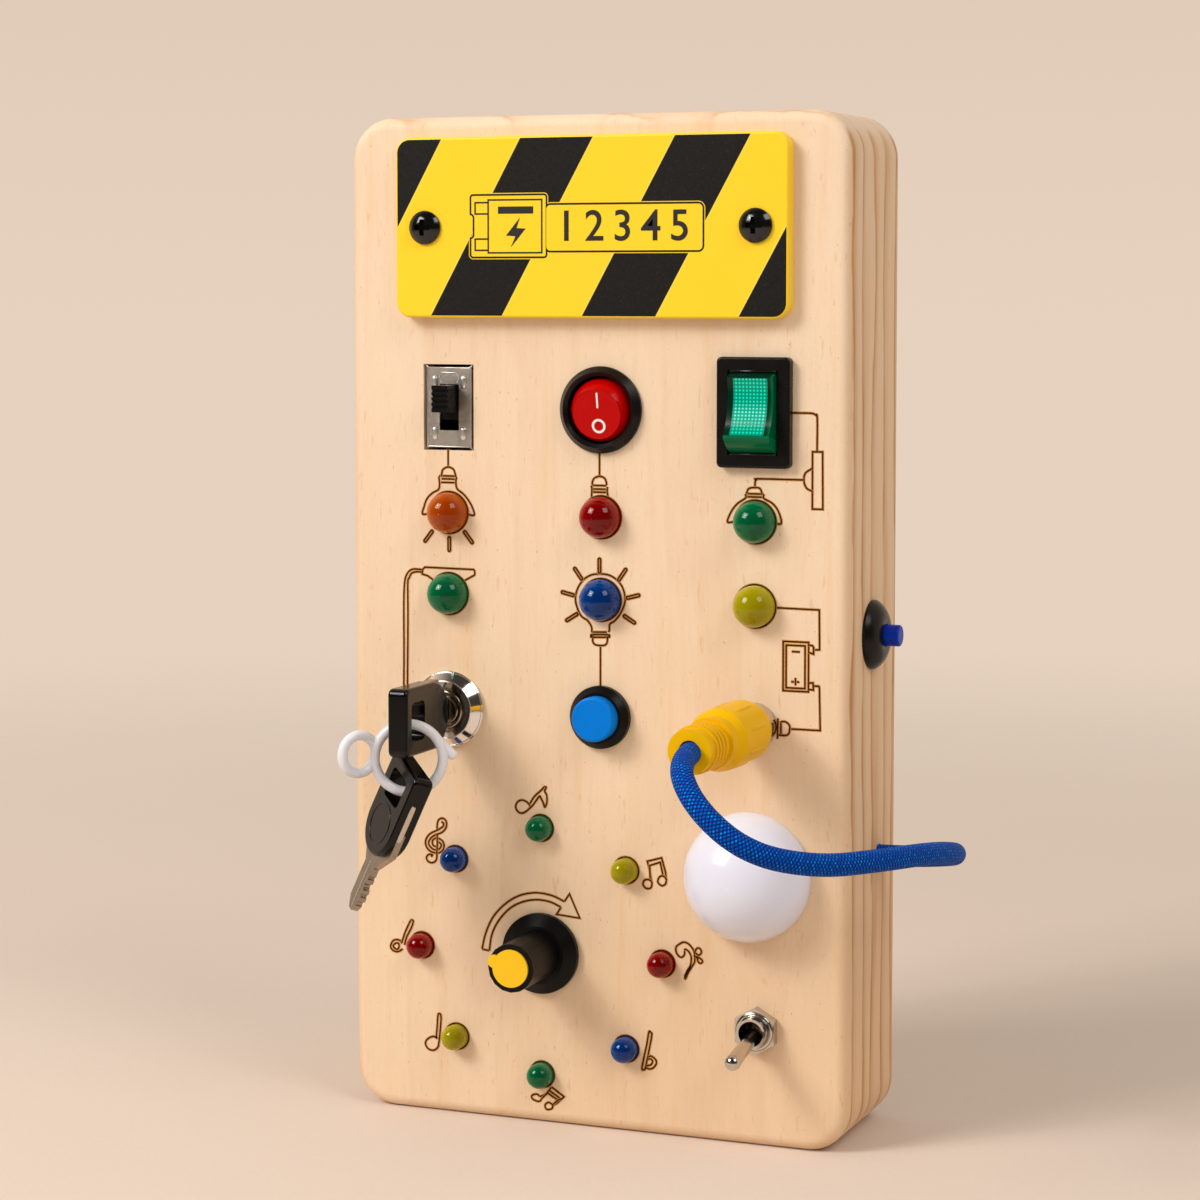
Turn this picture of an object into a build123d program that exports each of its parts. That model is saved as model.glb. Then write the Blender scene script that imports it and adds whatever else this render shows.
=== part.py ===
from build123d import *
import os
from math import asin, cos, degrees, radians, sin

# Wooden busy board: a hollow wooden block whose front carries switches, lamps, a key lock, a dial and a
# tethered plug. Millimetres. X runs to the right, Y from the front face to the back, Z up from the base,
# and the origin is the middle of the base. "Out" is towards the user, in front of the face.

# ---------------------------------------------------------------- driving dimensions
# Board
BOARD_WIDTH = 105.0
BOARD_HEIGHT = 200.0
BOARD_DEPTH = 32.0
CORNER_RADIUS = 8.5
EDGE_ROUND = 2.4
FRONT_WALL = 5.0
SIDE_WALL = 6.0
POCKET_CORNER = 3.0
CORNER_BLOCK = 9.0

# Clearances
RUNNING_GAP = 0.05
LOOSE_GAP = 0.15
CAP_GAP = 0.2

# Rear cover, its screws and the battery compartment
COVER_THICKNESS = 3.0
COVER_RIM = 2.5
REAR_SCREW_HEAD = 2.8
REAR_SCREW_LENGTH = 9.0
SCREW_HEAD_HEIGHT = 1.9
SCREW_SHANK = 1.3
CELL_RADIUS = 5.2
CELL_LENGTH = 43.5
CELL_NUB_RADIUS = 1.9
CELL_NUB_LENGTH = 1.0
CELL_COUNT = 3
CELL_GAP = 0.5
TRAY_WALL = 1.2
TRAY_DEPTH = 11.8
SCREW_BAY = 7.0
CONTACT_THICKNESS = 0.4
CONTACT_ROOM = 1.6
TRAY_DROP = 6.5

# Sign plate
SIGN_WIDTH = 82.0
SIGN_HEIGHT = 35.4
SIGN_THICKNESS = 3.0
SIGN_CORNER = 3.0
SIGN_EDGE = 0.6
SIGN_DROP = 4.2
SIGN_SCREW_PITCH = 69.0
SIGN_SCREW_HEAD = 3.3
SIGN_SCREW_SHANK = 1.4
SIGN_SCREW_LENGTH = 7.0
CROSS_LENGTH = 3.2
CROSS_WIDTH = 1.0
CROSS_DEPTH = 1.1

# Panel layout: three columns as shares of half the width, and rows as shares of the free height between
# the dial's lamp ring and the sign plate
COLUMN_LEFT_SHARE = -0.59
COLUMN_MIDDLE_SHARE = 0.034
COLUMN_RIGHT_SHARE = 0.64
DIAL_COLUMN_SHARE = -0.208
DOME_COLUMN_SHARE = 0.619
TOGGLE_COLUMN_SHARE = 0.655
ROW_SWITCHES_SHARE = 0.823
ROW_LAMPS_UPPER_SHARE = 0.615
ROW_LAMPS_LOWER_SHARE = 0.454
ROW_LOCK_SHARE = 0.225

# Slide switch
SLIDE_WIDTH = 9.8
SLIDE_HEIGHT = 16.0
SLIDE_SINK = 0.3
SLIDE_CASE_DEPTH = 6.0
SLIDE_SHEET = 0.5
SLIDE_OPENING_GAP = 0.55
SLIDE_SLOT_WIDTH = 4.2
SLIDE_SLOT_HEIGHT = 9.2
SLIDE_BASE_THICKNESS = 1.2
SLIDER_WIDTH = 3.4
SLIDER_HEIGHT = 5.3
SLIDER_RISE = 4.7
SLIDER_FOOT_WIDTH = 8.0
SLIDER_FOOT_HEIGHT = 8.6
SLIDER_FOOT_DEPTH = 2.0
SLIDER_TRAVEL = 3.6
SLIDER_RIB = 0.35
SLIDER_RIB_COUNT = 4

# Round rocker switch
ROUND_BEZEL = 8.5
ROUND_BEZEL_HEIGHT = 2.0
ROUND_BODY = 7.4
ROUND_BODY_DEPTH = 13.0
ROUND_CAP = 6.4
ROUND_CAP_FACE = 4.9
ROUND_TILT = 10.0
ROUND_FLOOR = 1.6
ROUND_PIVOT_DEPTH = 1.5
ROCKER_PIN = 1.0
ROCKER_PIN_LENGTH = 0.6

# Square rocker switch
SQUARE_BEZEL_WIDTH = 14.8
SQUARE_BEZEL_HEIGHT = 21.2
SQUARE_BEZEL_RISE = 2.0
SQUARE_BODY_WIDTH = 12.8
SQUARE_BODY_HEIGHT = 19.0
SQUARE_BODY_DEPTH = 12.0
SQUARE_FLOOR = 1.6
SQUARE_CAP_WIDTH = 9.2
SQUARE_MOUTH_WIDTH = 10.2
SQUARE_CAP_REACH = 7.9
SQUARE_LIP_ANGLE = 43.0
SQUARE_CAP_HOLLOW = 1.3
SQUARE_PIVOT_DEPTH = 0.5
SQUARE_TILT = 12.0

# Panel lamps
BIG_LAMP = 4.05
BIG_LAMP_RIM = 4.7
BIG_LAMP_RIM_THICKNESS = 1.5
SMALL_LAMP = 2.5
SMALL_LAMP_RIM = 2.9
SMALL_LAMP_RIM_THICKNESS = 1.0
BIG_LAMP_RISE = 0.95
SMALL_LAMP_RISE = 1.7
LEAD_SIDE = 0.5
LEAD_PITCH = 2.54
BIG_LEAD_LENGTH = 8.0
SMALL_LEAD_LENGTH = 3.0

# Key lock
LOCK_FLANGE = 7.6
LOCK_FLANGE_FACE = 5.7
LOCK_FLANGE_HEIGHT = 2.6
LOCK_BARREL = 5.9
LOCK_BARREL_DEPTH = 18.0
LOCK_PLUG = 4.5
LOCK_PLUG_RISE = 2.0
LOCK_FLOOR = 2.0
NUT_THICKNESS = 2.0
M12_NUT_FLATS = 14.0

# Key
KEY_BOW_LENGTH = 19.5
KEY_BOW_WIDTH = 13.4
KEY_BOW_THICKNESS = 4.2
KEY_NECK = 2.5
KEY_BLADE_LENGTH = 10.0
KEY_BLADE_WIDTH = 4.4
KEY_BLADE_THICKNESS = 1.4
KEY_TRIM_LENGTH = 10.0
KEY_SLOT_LENGTH = 6.0
KEY_SLOT_WIDTH = 7.6
KEY_SLOT_MARGIN = 2.2
KEY_NOTCH_COUNT = 4
KEY_NOTCH = 0.75

# Key tie: a soft ring through both bows, with a small loop and a tail
TIE_RING = 6.65
TIE_THICKNESS = 1.0
TIE_DROP = 7.35
TIE_YAW = 22.0
TIE_LOOP = 3.7
TIE_LOOP_YAW = 37.0
TIE_LOOP_UP = 1.0
TIE_LOOP_BEHIND = 0.6
TIE_TAIL_LENGTH = 3.9
TIE_TAIL_ANGLE = 31.0
TIE_TAIL_LEAN = 46.0
TIE_TAIL_BEHIND = 0.5
SPARE_LEAN = 25.0
SPARE_TWIST = 42.0
SPARE_OFFSET_ACROSS = 0.8
SPARE_OFFSET_UP = 0.5
SPARE_OFFSET_OUT = 0.5

# Push button
BUTTON_RING = 6.2
BUTTON_RING_HEIGHT = 2.4
BUTTON_BARREL = 5.0
BUTTON_BARREL_DEPTH = 12.0
BUTTON_CAP = 4.4
BUTTON_RISE = 5.0
BUTTON_STROKE = 2.2
BUTTON_STEM = 2.0
BUTTON_NUT_FLATS = 12.0

# Side button
SIDE_BUTTON_BELOW_MIDDLE = 0.8
SIDE_BUTTON_FORWARD = 1.3
SIDE_FLANGE = 6.75
SIDE_FLANGE_FACE = 3.3
SIDE_FLANGE_HEIGHT = 2.9
SIDE_FLANGE_BULGE = (5.55, 2.0)
SIDE_FLANGE_RIM = 0.5
SIDE_BARREL_DEPTH = 14.0
SIDE_CAP = 2.1
SIDE_CAP_RISE = 5.8
SIDE_STROKE = 1.8
SIDE_STEM_FOOT = 3.2

# Jack, plug and tether cord
JACK_COLLAR = 4.5
JACK_COLLAR_HEIGHT = 4.0
JACK_BARREL = 3.0
JACK_BARREL_DEPTH = 15.0
PLUG_PIN = 1.75
PLUG_PIN_LENGTH = 13.5
PLUG_LENGTH = 32.0
PLUG_NOSE = 4.9
PLUG_BODY = 5.9
PLUG_SHOULDER = 4.9
PLUG_TAIL = 4.2
PLUG_RIB = 0.35
PLUG_RIB_COUNT = 4
PLUG_SOCKET_DEPTH = 6.0
CORD_RADIUS = 2.1
CORD_HOLE = 2.3
CORD_HOLE_BACK = 4.0
CORD_HOLE_HEIGHT = 55.0
CORD_STOP_RADIUS = 3.6
CORD_STOP_LENGTH = 2.5

# Dome lamp
DOME_ABOVE_DIAL = 18.4
DOME_RADIUS = 12.6
DOME_SHELL = 1.4
DOME_NECK = 10.5
DOME_BOARD_THICKNESS = 1.2
DOME_CHIP = 5.0
DOME_CHIP_THICKNESS = 1.6

# Dial: potentiometer, knob and the ring of lamps round it
DIAL_RING = 25.2
DIAL_LAMP_COUNT = 8
RING_BOARD_MARGIN = 3.0
# The ring lamps' holes are drilled by hand: how far each sits off the even ring, (across, up), from the top one
RING_LAMP_SHIFTS = ((-0.2, -0.2), (0.15, 0), (0.4, -0.1), (0.2, 0.1), (0, 0.6), (-0.85, -0.8), (-1.1, -0.6),
                    (-1.0, -0.3))
RING_BOARD_ROOM = 2.3
RING_BOARD_GAP = 0.3
RING_BOARD_THICKNESS = 1.6
POT_BODY = 8.2
POT_BODY_DEPTH = 8.0
POT_BUSHING = 3.45
POT_BUSHING_RISE = 3.0
POT_SHAFT = 3.0
POT_NUT_FLATS = 10.0
KNOB_SKIRT = 8.05
KNOB_SKIRT_HEIGHT = 1.0
KNOB_SKIRT_SLOPE = 1.6
KNOB_GRIP = 4.8
KNOB_GRIP_SIDES = 16
KNOB_HEIGHT = 15.5
KNOB_LIFT = 0.4
KNOB_CROWN = 2.5
POINTER_DISC = 3.7
POINTER_REACH = 4.9
POINTER_TIP = 1.3
POINTER_RISE = 0.5
POINTER_DEPTH = 0.8
POINTER_ANGLE = 161.0

# Toggle switch
TOGGLE_BELOW_DIAL = 11.4
TOGGLE_BUSHING = 2.95
TOGGLE_BUSHING_RISE = 4.2
TOGGLE_BORE = 2.45
TOGGLE_BODY_WIDTH = 8.0
TOGGLE_BODY_HEIGHT = 13.0
TOGGLE_BODY_DEPTH = 9.0
TOGGLE_PIVOT_DEPTH = 0.5
TOGGLE_BALL = 2.2
TOGGLE_STEM = 1.2
TOGGLE_TIP = 1.55
TOGGLE_REACH = 16.6
TOGGLE_TILT = 12.0
M6_NUT_FLATS = 8.0

# Switch terminals
TAB_WIDTH = 4.0
TAB_THICKNESS = 0.8
TAB_LENGTH = 6.0
PIN_WIDTH = 1.2
PIN_LENGTH = 4.0

# ---------------------------------------------------------------- derived places
FRONT = -BOARD_DEPTH / 2
BACK = BOARD_DEPTH / 2
SIDE = BOARD_WIDTH / 2
WALL_BACK = -FRONT_WALL
COVER_INNER = BACK - COVER_THICKNESS
POCKET_DEPTH = BOARD_DEPTH - FRONT_WALL
POCKET_WIDTH = BOARD_WIDTH - 2 * SIDE_WALL
POCKET_HEIGHT = BOARD_HEIGHT - 2 * SIDE_WALL
COVER_WIDTH = BOARD_WIDTH - 2 * COVER_RIM
COVER_HEIGHT = BOARD_HEIGHT - 2 * COVER_RIM
MIDDLE = BOARD_HEIGHT / 2
SIGN_MIDDLE = BOARD_HEIGHT - SIGN_DROP - SIGN_HEIGHT / 2
SIGN_BOTTOM = SIGN_MIDDLE - SIGN_HEIGHT / 2
SIDE_BUTTON_Y = -SIDE_BUTTON_FORWARD
SIDE_BUTTON_HEIGHT = MIDDLE - SIDE_BUTTON_BELOW_MIDDLE
RING_BOARD_OUTER = DIAL_RING + RING_BOARD_MARGIN
RING_BOARD_INNER = POT_BODY + RING_BOARD_ROOM
DIAL_X = DIAL_COLUMN_SHARE * SIDE
DIAL_HEIGHT = SIDE_WALL + RING_BOARD_GAP + RING_BOARD_OUTER
RING_TOP = DIAL_HEIGHT + DIAL_RING
FREE_HEIGHT = SIGN_BOTTOM - RING_TOP
COLUMN_LEFT = COLUMN_LEFT_SHARE * SIDE
COLUMN_MIDDLE = COLUMN_MIDDLE_SHARE * SIDE
COLUMN_RIGHT = COLUMN_RIGHT_SHARE * SIDE
ROW_SWITCHES = RING_TOP + ROW_SWITCHES_SHARE * FREE_HEIGHT
ROW_LAMPS_UPPER = RING_TOP + ROW_LAMPS_UPPER_SHARE * FREE_HEIGHT
ROW_LAMPS_LOWER = RING_TOP + ROW_LAMPS_LOWER_SHARE * FREE_HEIGHT
ROW_LOCK = RING_TOP + ROW_LOCK_SHARE * FREE_HEIGHT
DOME_X = DOME_COLUMN_SHARE * SIDE
DOME_HEIGHT = DIAL_HEIGHT + DOME_ABOVE_DIAL
TOGGLE_X = TOGGLE_COLUMN_SHARE * SIDE
TOGGLE_HEIGHT = DIAL_HEIGHT - TOGGLE_BELOW_DIAL


def face(x, z, out=0.0, spin=0.0):
    """Plane on the front face, normal towards the user, local x turned by spin degrees from +X."""
    across = (cos(radians(spin)), 0, sin(radians(spin)))
    return Plane(origin=(x, FRONT - out, z), x_dir=across, z_dir=(0, -1, 0))


def rear(x, z, out=0.0):
    """Plane on the rear face, normal backwards."""
    return Plane(origin=(x, BACK + out, z), x_dir=(-1, 0, 0), z_dir=(0, 1, 0))


def right_side(y, z, out=0.0):
    """Plane on the right side, normal to the right."""
    return Plane(origin=(SIDE + out, y, z), x_dir=(0, 1, 0), z_dir=(1, 0, 0))


def moved(seat, across, up, out=0.0):
    """The same seat shifted in its own plane and along its normal."""
    return Plane(origin=seat.from_local_coords((across, up, out)), x_dir=seat.x_dir, z_dir=seat.z_dir)


def tipped(seat, about_x=0.0, about_z=0.0):
    """The same seat turned about its own local axes, in degrees."""
    return Plane(seat.location * Location((0, 0, 0), (about_x, 0, about_z)))


def lengthways(seat):
    """Plane through a seat's normal: local x across the seat, local y along its normal."""
    return Plane(origin=seat.origin, x_dir=seat.x_dir, z_dir=-seat.y_dir)


def turn(seat, *outline, mode=Mode.ADD):
    """Revolve an outline of (radius, height) points about the seat's normal."""
    with BuildSketch(lengthways(seat)) as profile:
        with BuildLine():
            Polyline(*outline, close=True)
        make_face()
    revolve(profile.sketch, axis=Axis(seat.origin, seat.z_dir), mode=mode)


def turn_arched(seat, start, through, end, *outline):
    """Revolve an outline that begins with an arc and goes on in straight lines back to its start."""
    with BuildSketch(lengthways(seat)) as profile:
        with BuildLine():
            ThreePointArc(start, through, end)
            Polyline(end, *outline, start)
        make_face()
    revolve(profile.sketch, axis=Axis(seat.origin, seat.z_dir))


def ring(seat, outer, inner, low, high, mode=Mode.ADD):
    """A plain turned ring between two heights."""
    turn(seat, (inner, low), (outer, low), (outer, high), (inner, high), mode=mode)


def rod(seat, radius, low, high, mode=Mode.ADD):
    """A plain turned rod between two heights."""
    turn(seat, (0, low), (radius, low), (radius, high), (0, high), mode=mode)


def pivot_rod(seat, radius, reach, mode=Mode.ADD):
    """A rod across the seat, along its local x, reaching equally to both sides."""
    with BuildSketch(Plane(origin=seat.origin, z_dir=seat.x_dir)) as outline:
        Circle(radius)
    extrude(outline.sketch, amount=reach, both=True, mode=mode)


def block(seat, width, height, low, high, mode=Mode.ADD):
    """A rectangular block centred on the seat between two heights."""
    with BuildSketch(seat.offset(low)) as outline:
        Rectangle(width, height)
    extrude(outline.sketch, amount=high - low, mode=mode)


def nut(seat, flats, bore, low, thickness):
    """A hexagon nut with a corner at its top."""
    with BuildSketch(seat.offset(low)) as outline:
        RegularPolygon(flats / 2, 6, major_radius=False, rotation=30)
        Circle(bore, mode=Mode.SUBTRACT)
    extrude(outline.sketch, amount=thickness)


def cross_recess(seat, top):
    """The cross cut into a screw head."""
    for width, height in ((CROSS_LENGTH, CROSS_WIDTH), (CROSS_WIDTH, CROSS_LENGTH)):
        block(seat, width, height, top - CROSS_DEPTH, top, Mode.SUBTRACT)


def pan_screw(seat, head, shank, length):
    """A pan-head screw, its head standing on the seat."""
    turn_arched(seat, (head, SCREW_HEAD_HEIGHT * 0.25), (head * 0.65, SCREW_HEAD_HEIGHT * 0.74),
                (head * 0.12, SCREW_HEAD_HEIGHT), (0, SCREW_HEAD_HEIGHT), (0, -length), (shank, -length),
                (shank, 0), (head, 0))
    cross_recess(seat, SCREW_HEAD_HEIGHT)


def flat_screw(seat, head, shank, length):
    """A countersunk screw, its head level with the seat."""
    turn(seat, (0, 0), (head, 0), (shank, shank - head), (shank, -length), (0, -length))
    cross_recess(seat, 0)


def screw_sink(seat, head, shank, depth):
    """The countersunk hole for a flat screw."""
    wide = head + LOOSE_GAP
    narrow = shank + LOOSE_GAP
    turn(seat, (0, 0), (wide, 0), (narrow, narrow - wide), (narrow, -depth), (0, -depth), mode=Mode.SUBTRACT)


def lens(seat, radius, rim, rim_thickness, rise):
    """A lamp pushed in from behind: a rim behind the wall, a round body through it and a domed end."""
    back = WALL_BACK - rim_thickness
    with BuildSketch(lengthways(seat)) as profile:
        with BuildLine():
            Polyline((0, rise + radius), (0, back), (rim, back), (rim, WALL_BACK),
                     (radius, WALL_BACK), (radius, rise))
            CenterArc((0, rise), radius, 0, 90)
        make_face()
    revolve(profile.sketch, axis=Axis(seat.origin, seat.z_dir))


def save(part, name):
    part.label = name
    export_step(part, f"parts/{name}.step")


os.makedirs("parts", exist_ok=True)

# ---------------------------------------------------------------- seats shared by several pieces
SIGN_SCREWS = [face(side * SIGN_SCREW_PITCH / 2, SIGN_MIDDLE, SIGN_THICKNESS) for side in (-1, 1)]
SLIDE = face(COLUMN_LEFT, ROW_SWITCHES, -SLIDE_SINK)
ROUND = face(COLUMN_MIDDLE, ROW_SWITCHES)
SQUARE = face(COLUMN_RIGHT, ROW_SWITCHES)
LOCK = face(COLUMN_LEFT, ROW_LOCK)
BUTTON = face(COLUMN_MIDDLE, ROW_LOCK)
JACK = face(COLUMN_RIGHT, ROW_LOCK)
DOME = face(DOME_X, DOME_HEIGHT)
DIAL = face(DIAL_X, DIAL_HEIGHT)
TOGGLE = face(TOGGLE_X, TOGGLE_HEIGHT)
SIDE_BUTTON = right_side(SIDE_BUTTON_Y, SIDE_BUTTON_HEIGHT)
CORD_EXIT = right_side(CORD_HOLE_BACK, CORD_HOLE_HEIGHT)
BIG_LAMPS = {
    "lamp_orange": face(COLUMN_LEFT, ROW_LAMPS_UPPER),
    "lamp_red": face(COLUMN_MIDDLE, ROW_LAMPS_UPPER),
    "lamp_green_right": face(COLUMN_RIGHT, ROW_LAMPS_UPPER),
    "lamp_green_left": face(COLUMN_LEFT, ROW_LAMPS_LOWER),
    "lamp_blue": face(COLUMN_MIDDLE, ROW_LAMPS_LOWER),
    "lamp_yellow": face(COLUMN_RIGHT, ROW_LAMPS_LOWER),
}
RING_ANGLES = [90 - step * 360 / DIAL_LAMP_COUNT for step in range(DIAL_LAMP_COUNT)]
RING_LAMPS = [face(DIAL_X + DIAL_RING * cos(radians(angle)) + shift_across,
                   DIAL_HEIGHT + DIAL_RING * sin(radians(angle)) + shift_up)
              for angle, (shift_across, shift_up) in zip(RING_ANGLES, RING_LAMP_SHIFTS)]
COVER_SCREW_X = BOARD_WIDTH / 2 - SIDE_WALL - CORNER_BLOCK / 2
COVER_SCREW_Z = BOARD_HEIGHT / 2 - SIDE_WALL - CORNER_BLOCK / 2
COVER_SCREWS = [rear(x, z) for x in (-COVER_SCREW_X, COVER_SCREW_X)
                for z in (MIDDLE - COVER_SCREW_Z, MIDDLE + COVER_SCREW_Z)]

# Battery compartment: the tray hangs under the rear cover, below the top wall.
CELL_PITCH = 2 * CELL_RADIUS + CELL_GAP
BAY_LENGTH = CELL_LENGTH + CELL_NUB_LENGTH + 2 * CONTACT_ROOM
BAY_HEIGHT = CELL_COUNT * CELL_PITCH + CELL_GAP
TRAY_LENGTH = BAY_LENGTH + SCREW_BAY + 2 * TRAY_WALL
TRAY_HEIGHT = BAY_HEIGHT + 2 * TRAY_WALL
TRAY = rear(0, BOARD_HEIGHT - SIDE_WALL - TRAY_DROP - TRAY_HEIGHT / 2, -COVER_THICKNESS)
BAY_SHIFT = SCREW_BAY / 2
DOOR_SCREW_SHIFT = BAY_LENGTH / 2


# ---------------------------------------------------------------- wooden body
with BuildPart() as wood_body:
    with BuildSketch(face(0, MIDDLE)):
        RectangleRounded(BOARD_WIDTH, BOARD_HEIGHT, CORNER_RADIUS)
    extrude(amount=-BOARD_DEPTH)
    fillet(wood_body.faces().filter_by(Axis.Y).edges(), radius=EDGE_ROUND)
    # Pocket milled from the back, with solid corners for the rear screws
    with BuildSketch(rear(0, MIDDLE)):
        RectangleRounded(POCKET_WIDTH, POCKET_HEIGHT, POCKET_CORNER)
        with GridLocations(POCKET_WIDTH - CORNER_BLOCK, POCKET_HEIGHT - CORNER_BLOCK, 2, 2):
            Rectangle(CORNER_BLOCK, CORNER_BLOCK, mode=Mode.SUBTRACT)
    extrude(amount=-POCKET_DEPTH, mode=Mode.SUBTRACT)
    # Rebate for the cover
    with BuildSketch(rear(0, MIDDLE)):
        RectangleRounded(COVER_WIDTH, COVER_HEIGHT, CORNER_RADIUS - COVER_RIM)
    extrude(amount=-COVER_THICKNESS, mode=Mode.SUBTRACT)
    # Holes through the front wall
    for seat, radius in (
        (ROUND, ROUND_BODY), (LOCK, LOCK_BARREL), (BUTTON, BUTTON_BARREL), (JACK, JACK_BARREL),
        (DOME, DOME_NECK), (DIAL, POT_BUSHING), (TOGGLE, TOGGLE_BUSHING),
    ):
        rod(seat, radius + LOOSE_GAP, WALL_BACK, 0, Mode.SUBTRACT)
    for seat in BIG_LAMPS.values():
        rod(seat, BIG_LAMP + RUNNING_GAP, WALL_BACK, 0, Mode.SUBTRACT)
    for seat in RING_LAMPS:
        rod(seat, SMALL_LAMP + RUNNING_GAP, WALL_BACK, 0, Mode.SUBTRACT)
    block(face(COLUMN_LEFT, ROW_SWITCHES), SLIDE_WIDTH + 2 * SLIDE_OPENING_GAP,
          SLIDE_HEIGHT + 2 * SLIDE_OPENING_GAP, WALL_BACK, 0, Mode.SUBTRACT)
    block(SQUARE, SQUARE_BODY_WIDTH + 2 * LOOSE_GAP, SQUARE_BODY_HEIGHT + 2 * LOOSE_GAP,
          WALL_BACK, 0, Mode.SUBTRACT)
    # Screw holes of the sign plate and of the rear cover
    for seat in SIGN_SCREWS:
        rod(seat, SIGN_SCREW_SHANK + RUNNING_GAP, -SIGN_SCREW_LENGTH, -SIGN_THICKNESS, Mode.SUBTRACT)
    for seat in COVER_SCREWS:
        rod(seat, SCREW_SHANK + RUNNING_GAP, -REAR_SCREW_LENGTH, -COVER_THICKNESS, Mode.SUBTRACT)
    # Holes through the right side
    rod(SIDE_BUTTON, LOCK_BARREL + LOOSE_GAP, -SIDE_WALL, 0, Mode.SUBTRACT)
    rod(CORD_EXIT, CORD_HOLE, -SIDE_WALL, 0, Mode.SUBTRACT)
save(wood_body.part, "wood_body")

# ---------------------------------------------------------------- rear cover, battery tray, cells and door
with BuildPart() as rear_cover:
    with BuildSketch(rear(0, MIDDLE)):
        RectangleRounded(COVER_WIDTH - 2 * LOOSE_GAP, COVER_HEIGHT - 2 * LOOSE_GAP,
                         CORNER_RADIUS - COVER_RIM - LOOSE_GAP)
    extrude(amount=-COVER_THICKNESS)
    block(TRAY, TRAY_LENGTH - 2 * TRAY_WALL, TRAY_HEIGHT - 2 * TRAY_WALL, 0, COVER_THICKNESS, Mode.SUBTRACT)
    for seat in COVER_SCREWS:
        screw_sink(seat, REAR_SCREW_HEAD, SCREW_SHANK, COVER_THICKNESS)
save(rear_cover.part, "rear_cover")

DOOR_SCREW = moved(TRAY, DOOR_SCREW_SHIFT, 0, COVER_THICKNESS)
BAY = moved(TRAY, -BAY_SHIFT, 0)

with BuildPart() as battery_tray:
    block(TRAY, TRAY_LENGTH, TRAY_HEIGHT, -TRAY_DEPTH, 0)
    block(BAY, BAY_LENGTH, BAY_HEIGHT, TRAY_WALL - TRAY_DEPTH, 0, Mode.SUBTRACT)
    rod(DOOR_SCREW, SCREW_SHANK + RUNNING_GAP, -REAR_SCREW_LENGTH, 0, Mode.SUBTRACT)
save(battery_tray.part, "battery_tray")

CELL_DEPTH = TRAY_DEPTH - TRAY_WALL - CELL_RADIUS
with BuildPart() as batteries:
    for index in range(CELL_COUNT):
        height = (index - (CELL_COUNT - 1) / 2) * CELL_PITCH
        way = 1 if index % 2 == 0 else -1
        start = BAY.from_local_coords((-way * (CELL_LENGTH + CELL_NUB_LENGTH) / 2, height, -CELL_DEPTH))
        cell = Plane(origin=start, x_dir=(0, 0, 1), z_dir=BAY.x_dir * way)
        tip = CELL_LENGTH + CELL_NUB_LENGTH
        turn(cell, (0, 0), (CELL_RADIUS, 0), (CELL_RADIUS, CELL_LENGTH), (CELL_NUB_RADIUS, CELL_LENGTH),
             (CELL_NUB_RADIUS, tip), (0, tip))
save(batteries.part, "batteries")

with BuildPart() as battery_contacts:
    for index in range(CELL_COUNT):
        height = (index - (CELL_COUNT - 1) / 2) * CELL_PITCH
        for way in (-1, 1):
            start = BAY.from_local_coords((way * BAY_LENGTH / 2, height, -CELL_DEPTH))
            contact = Plane(origin=start, x_dir=(0, 0, 1), z_dir=BAY.x_dir * -way)
            block(contact, CELL_RADIUS, CELL_RADIUS, 0, CONTACT_THICKNESS)
            rod(contact, CELL_NUB_RADIUS, CONTACT_THICKNESS, CONTACT_ROOM - RUNNING_GAP)
save(battery_contacts.part, "battery_contacts")

with BuildPart() as battery_door:
    block(TRAY, TRAY_LENGTH - 2 * TRAY_WALL - 2 * LOOSE_GAP, TRAY_HEIGHT - 2 * TRAY_WALL - 2 * LOOSE_GAP,
          0, COVER_THICKNESS)
    screw_sink(DOOR_SCREW, REAR_SCREW_HEAD, SCREW_SHANK, COVER_THICKNESS)
save(battery_door.part, "battery_door")

with BuildPart() as rear_screws:
    for seat in COVER_SCREWS + [DOOR_SCREW]:
        flat_screw(seat, REAR_SCREW_HEAD, SCREW_SHANK, REAR_SCREW_LENGTH)
save(rear_screws.part, "rear_screws")

# ---------------------------------------------------------------- sign plate
with BuildPart() as sign_plate:
    with BuildSketch(face(0, SIGN_MIDDLE)):
        RectangleRounded(SIGN_WIDTH, SIGN_HEIGHT, SIGN_CORNER)
    extrude(amount=SIGN_THICKNESS)
    fillet(sign_plate.faces().sort_by(Axis.Y)[0].edges(), radius=SIGN_EDGE)
    for seat in SIGN_SCREWS:
        rod(seat, SIGN_SCREW_SHANK + LOOSE_GAP, -SIGN_THICKNESS, 0, Mode.SUBTRACT)
save(sign_plate.part, "sign_plate")

with BuildPart() as sign_plate_screws:
    for seat in SIGN_SCREWS:
        pan_screw(seat, SIGN_SCREW_HEAD, SIGN_SCREW_SHANK, SIGN_SCREW_LENGTH)
save(sign_plate_screws.part, "sign_plate_screws")

# ---------------------------------------------------------------- slide switch
CASE_INNER_WIDTH = SLIDE_WIDTH - 2 * SLIDE_SHEET
CASE_INNER_HEIGHT = SLIDE_HEIGHT - 2 * SLIDE_SHEET
with BuildPart() as slide_switch_case:
    block(SLIDE, SLIDE_WIDTH, SLIDE_HEIGHT, -SLIDE_CASE_DEPTH, 0)
    block(SLIDE, CASE_INNER_WIDTH, CASE_INNER_HEIGHT, -SLIDE_CASE_DEPTH, -SLIDE_SHEET, Mode.SUBTRACT)
    block(SLIDE, SLIDE_SLOT_WIDTH, SLIDE_SLOT_HEIGHT, -SLIDE_SHEET, 0, Mode.SUBTRACT)
save(slide_switch_case.part, "slide_switch_case")

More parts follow.
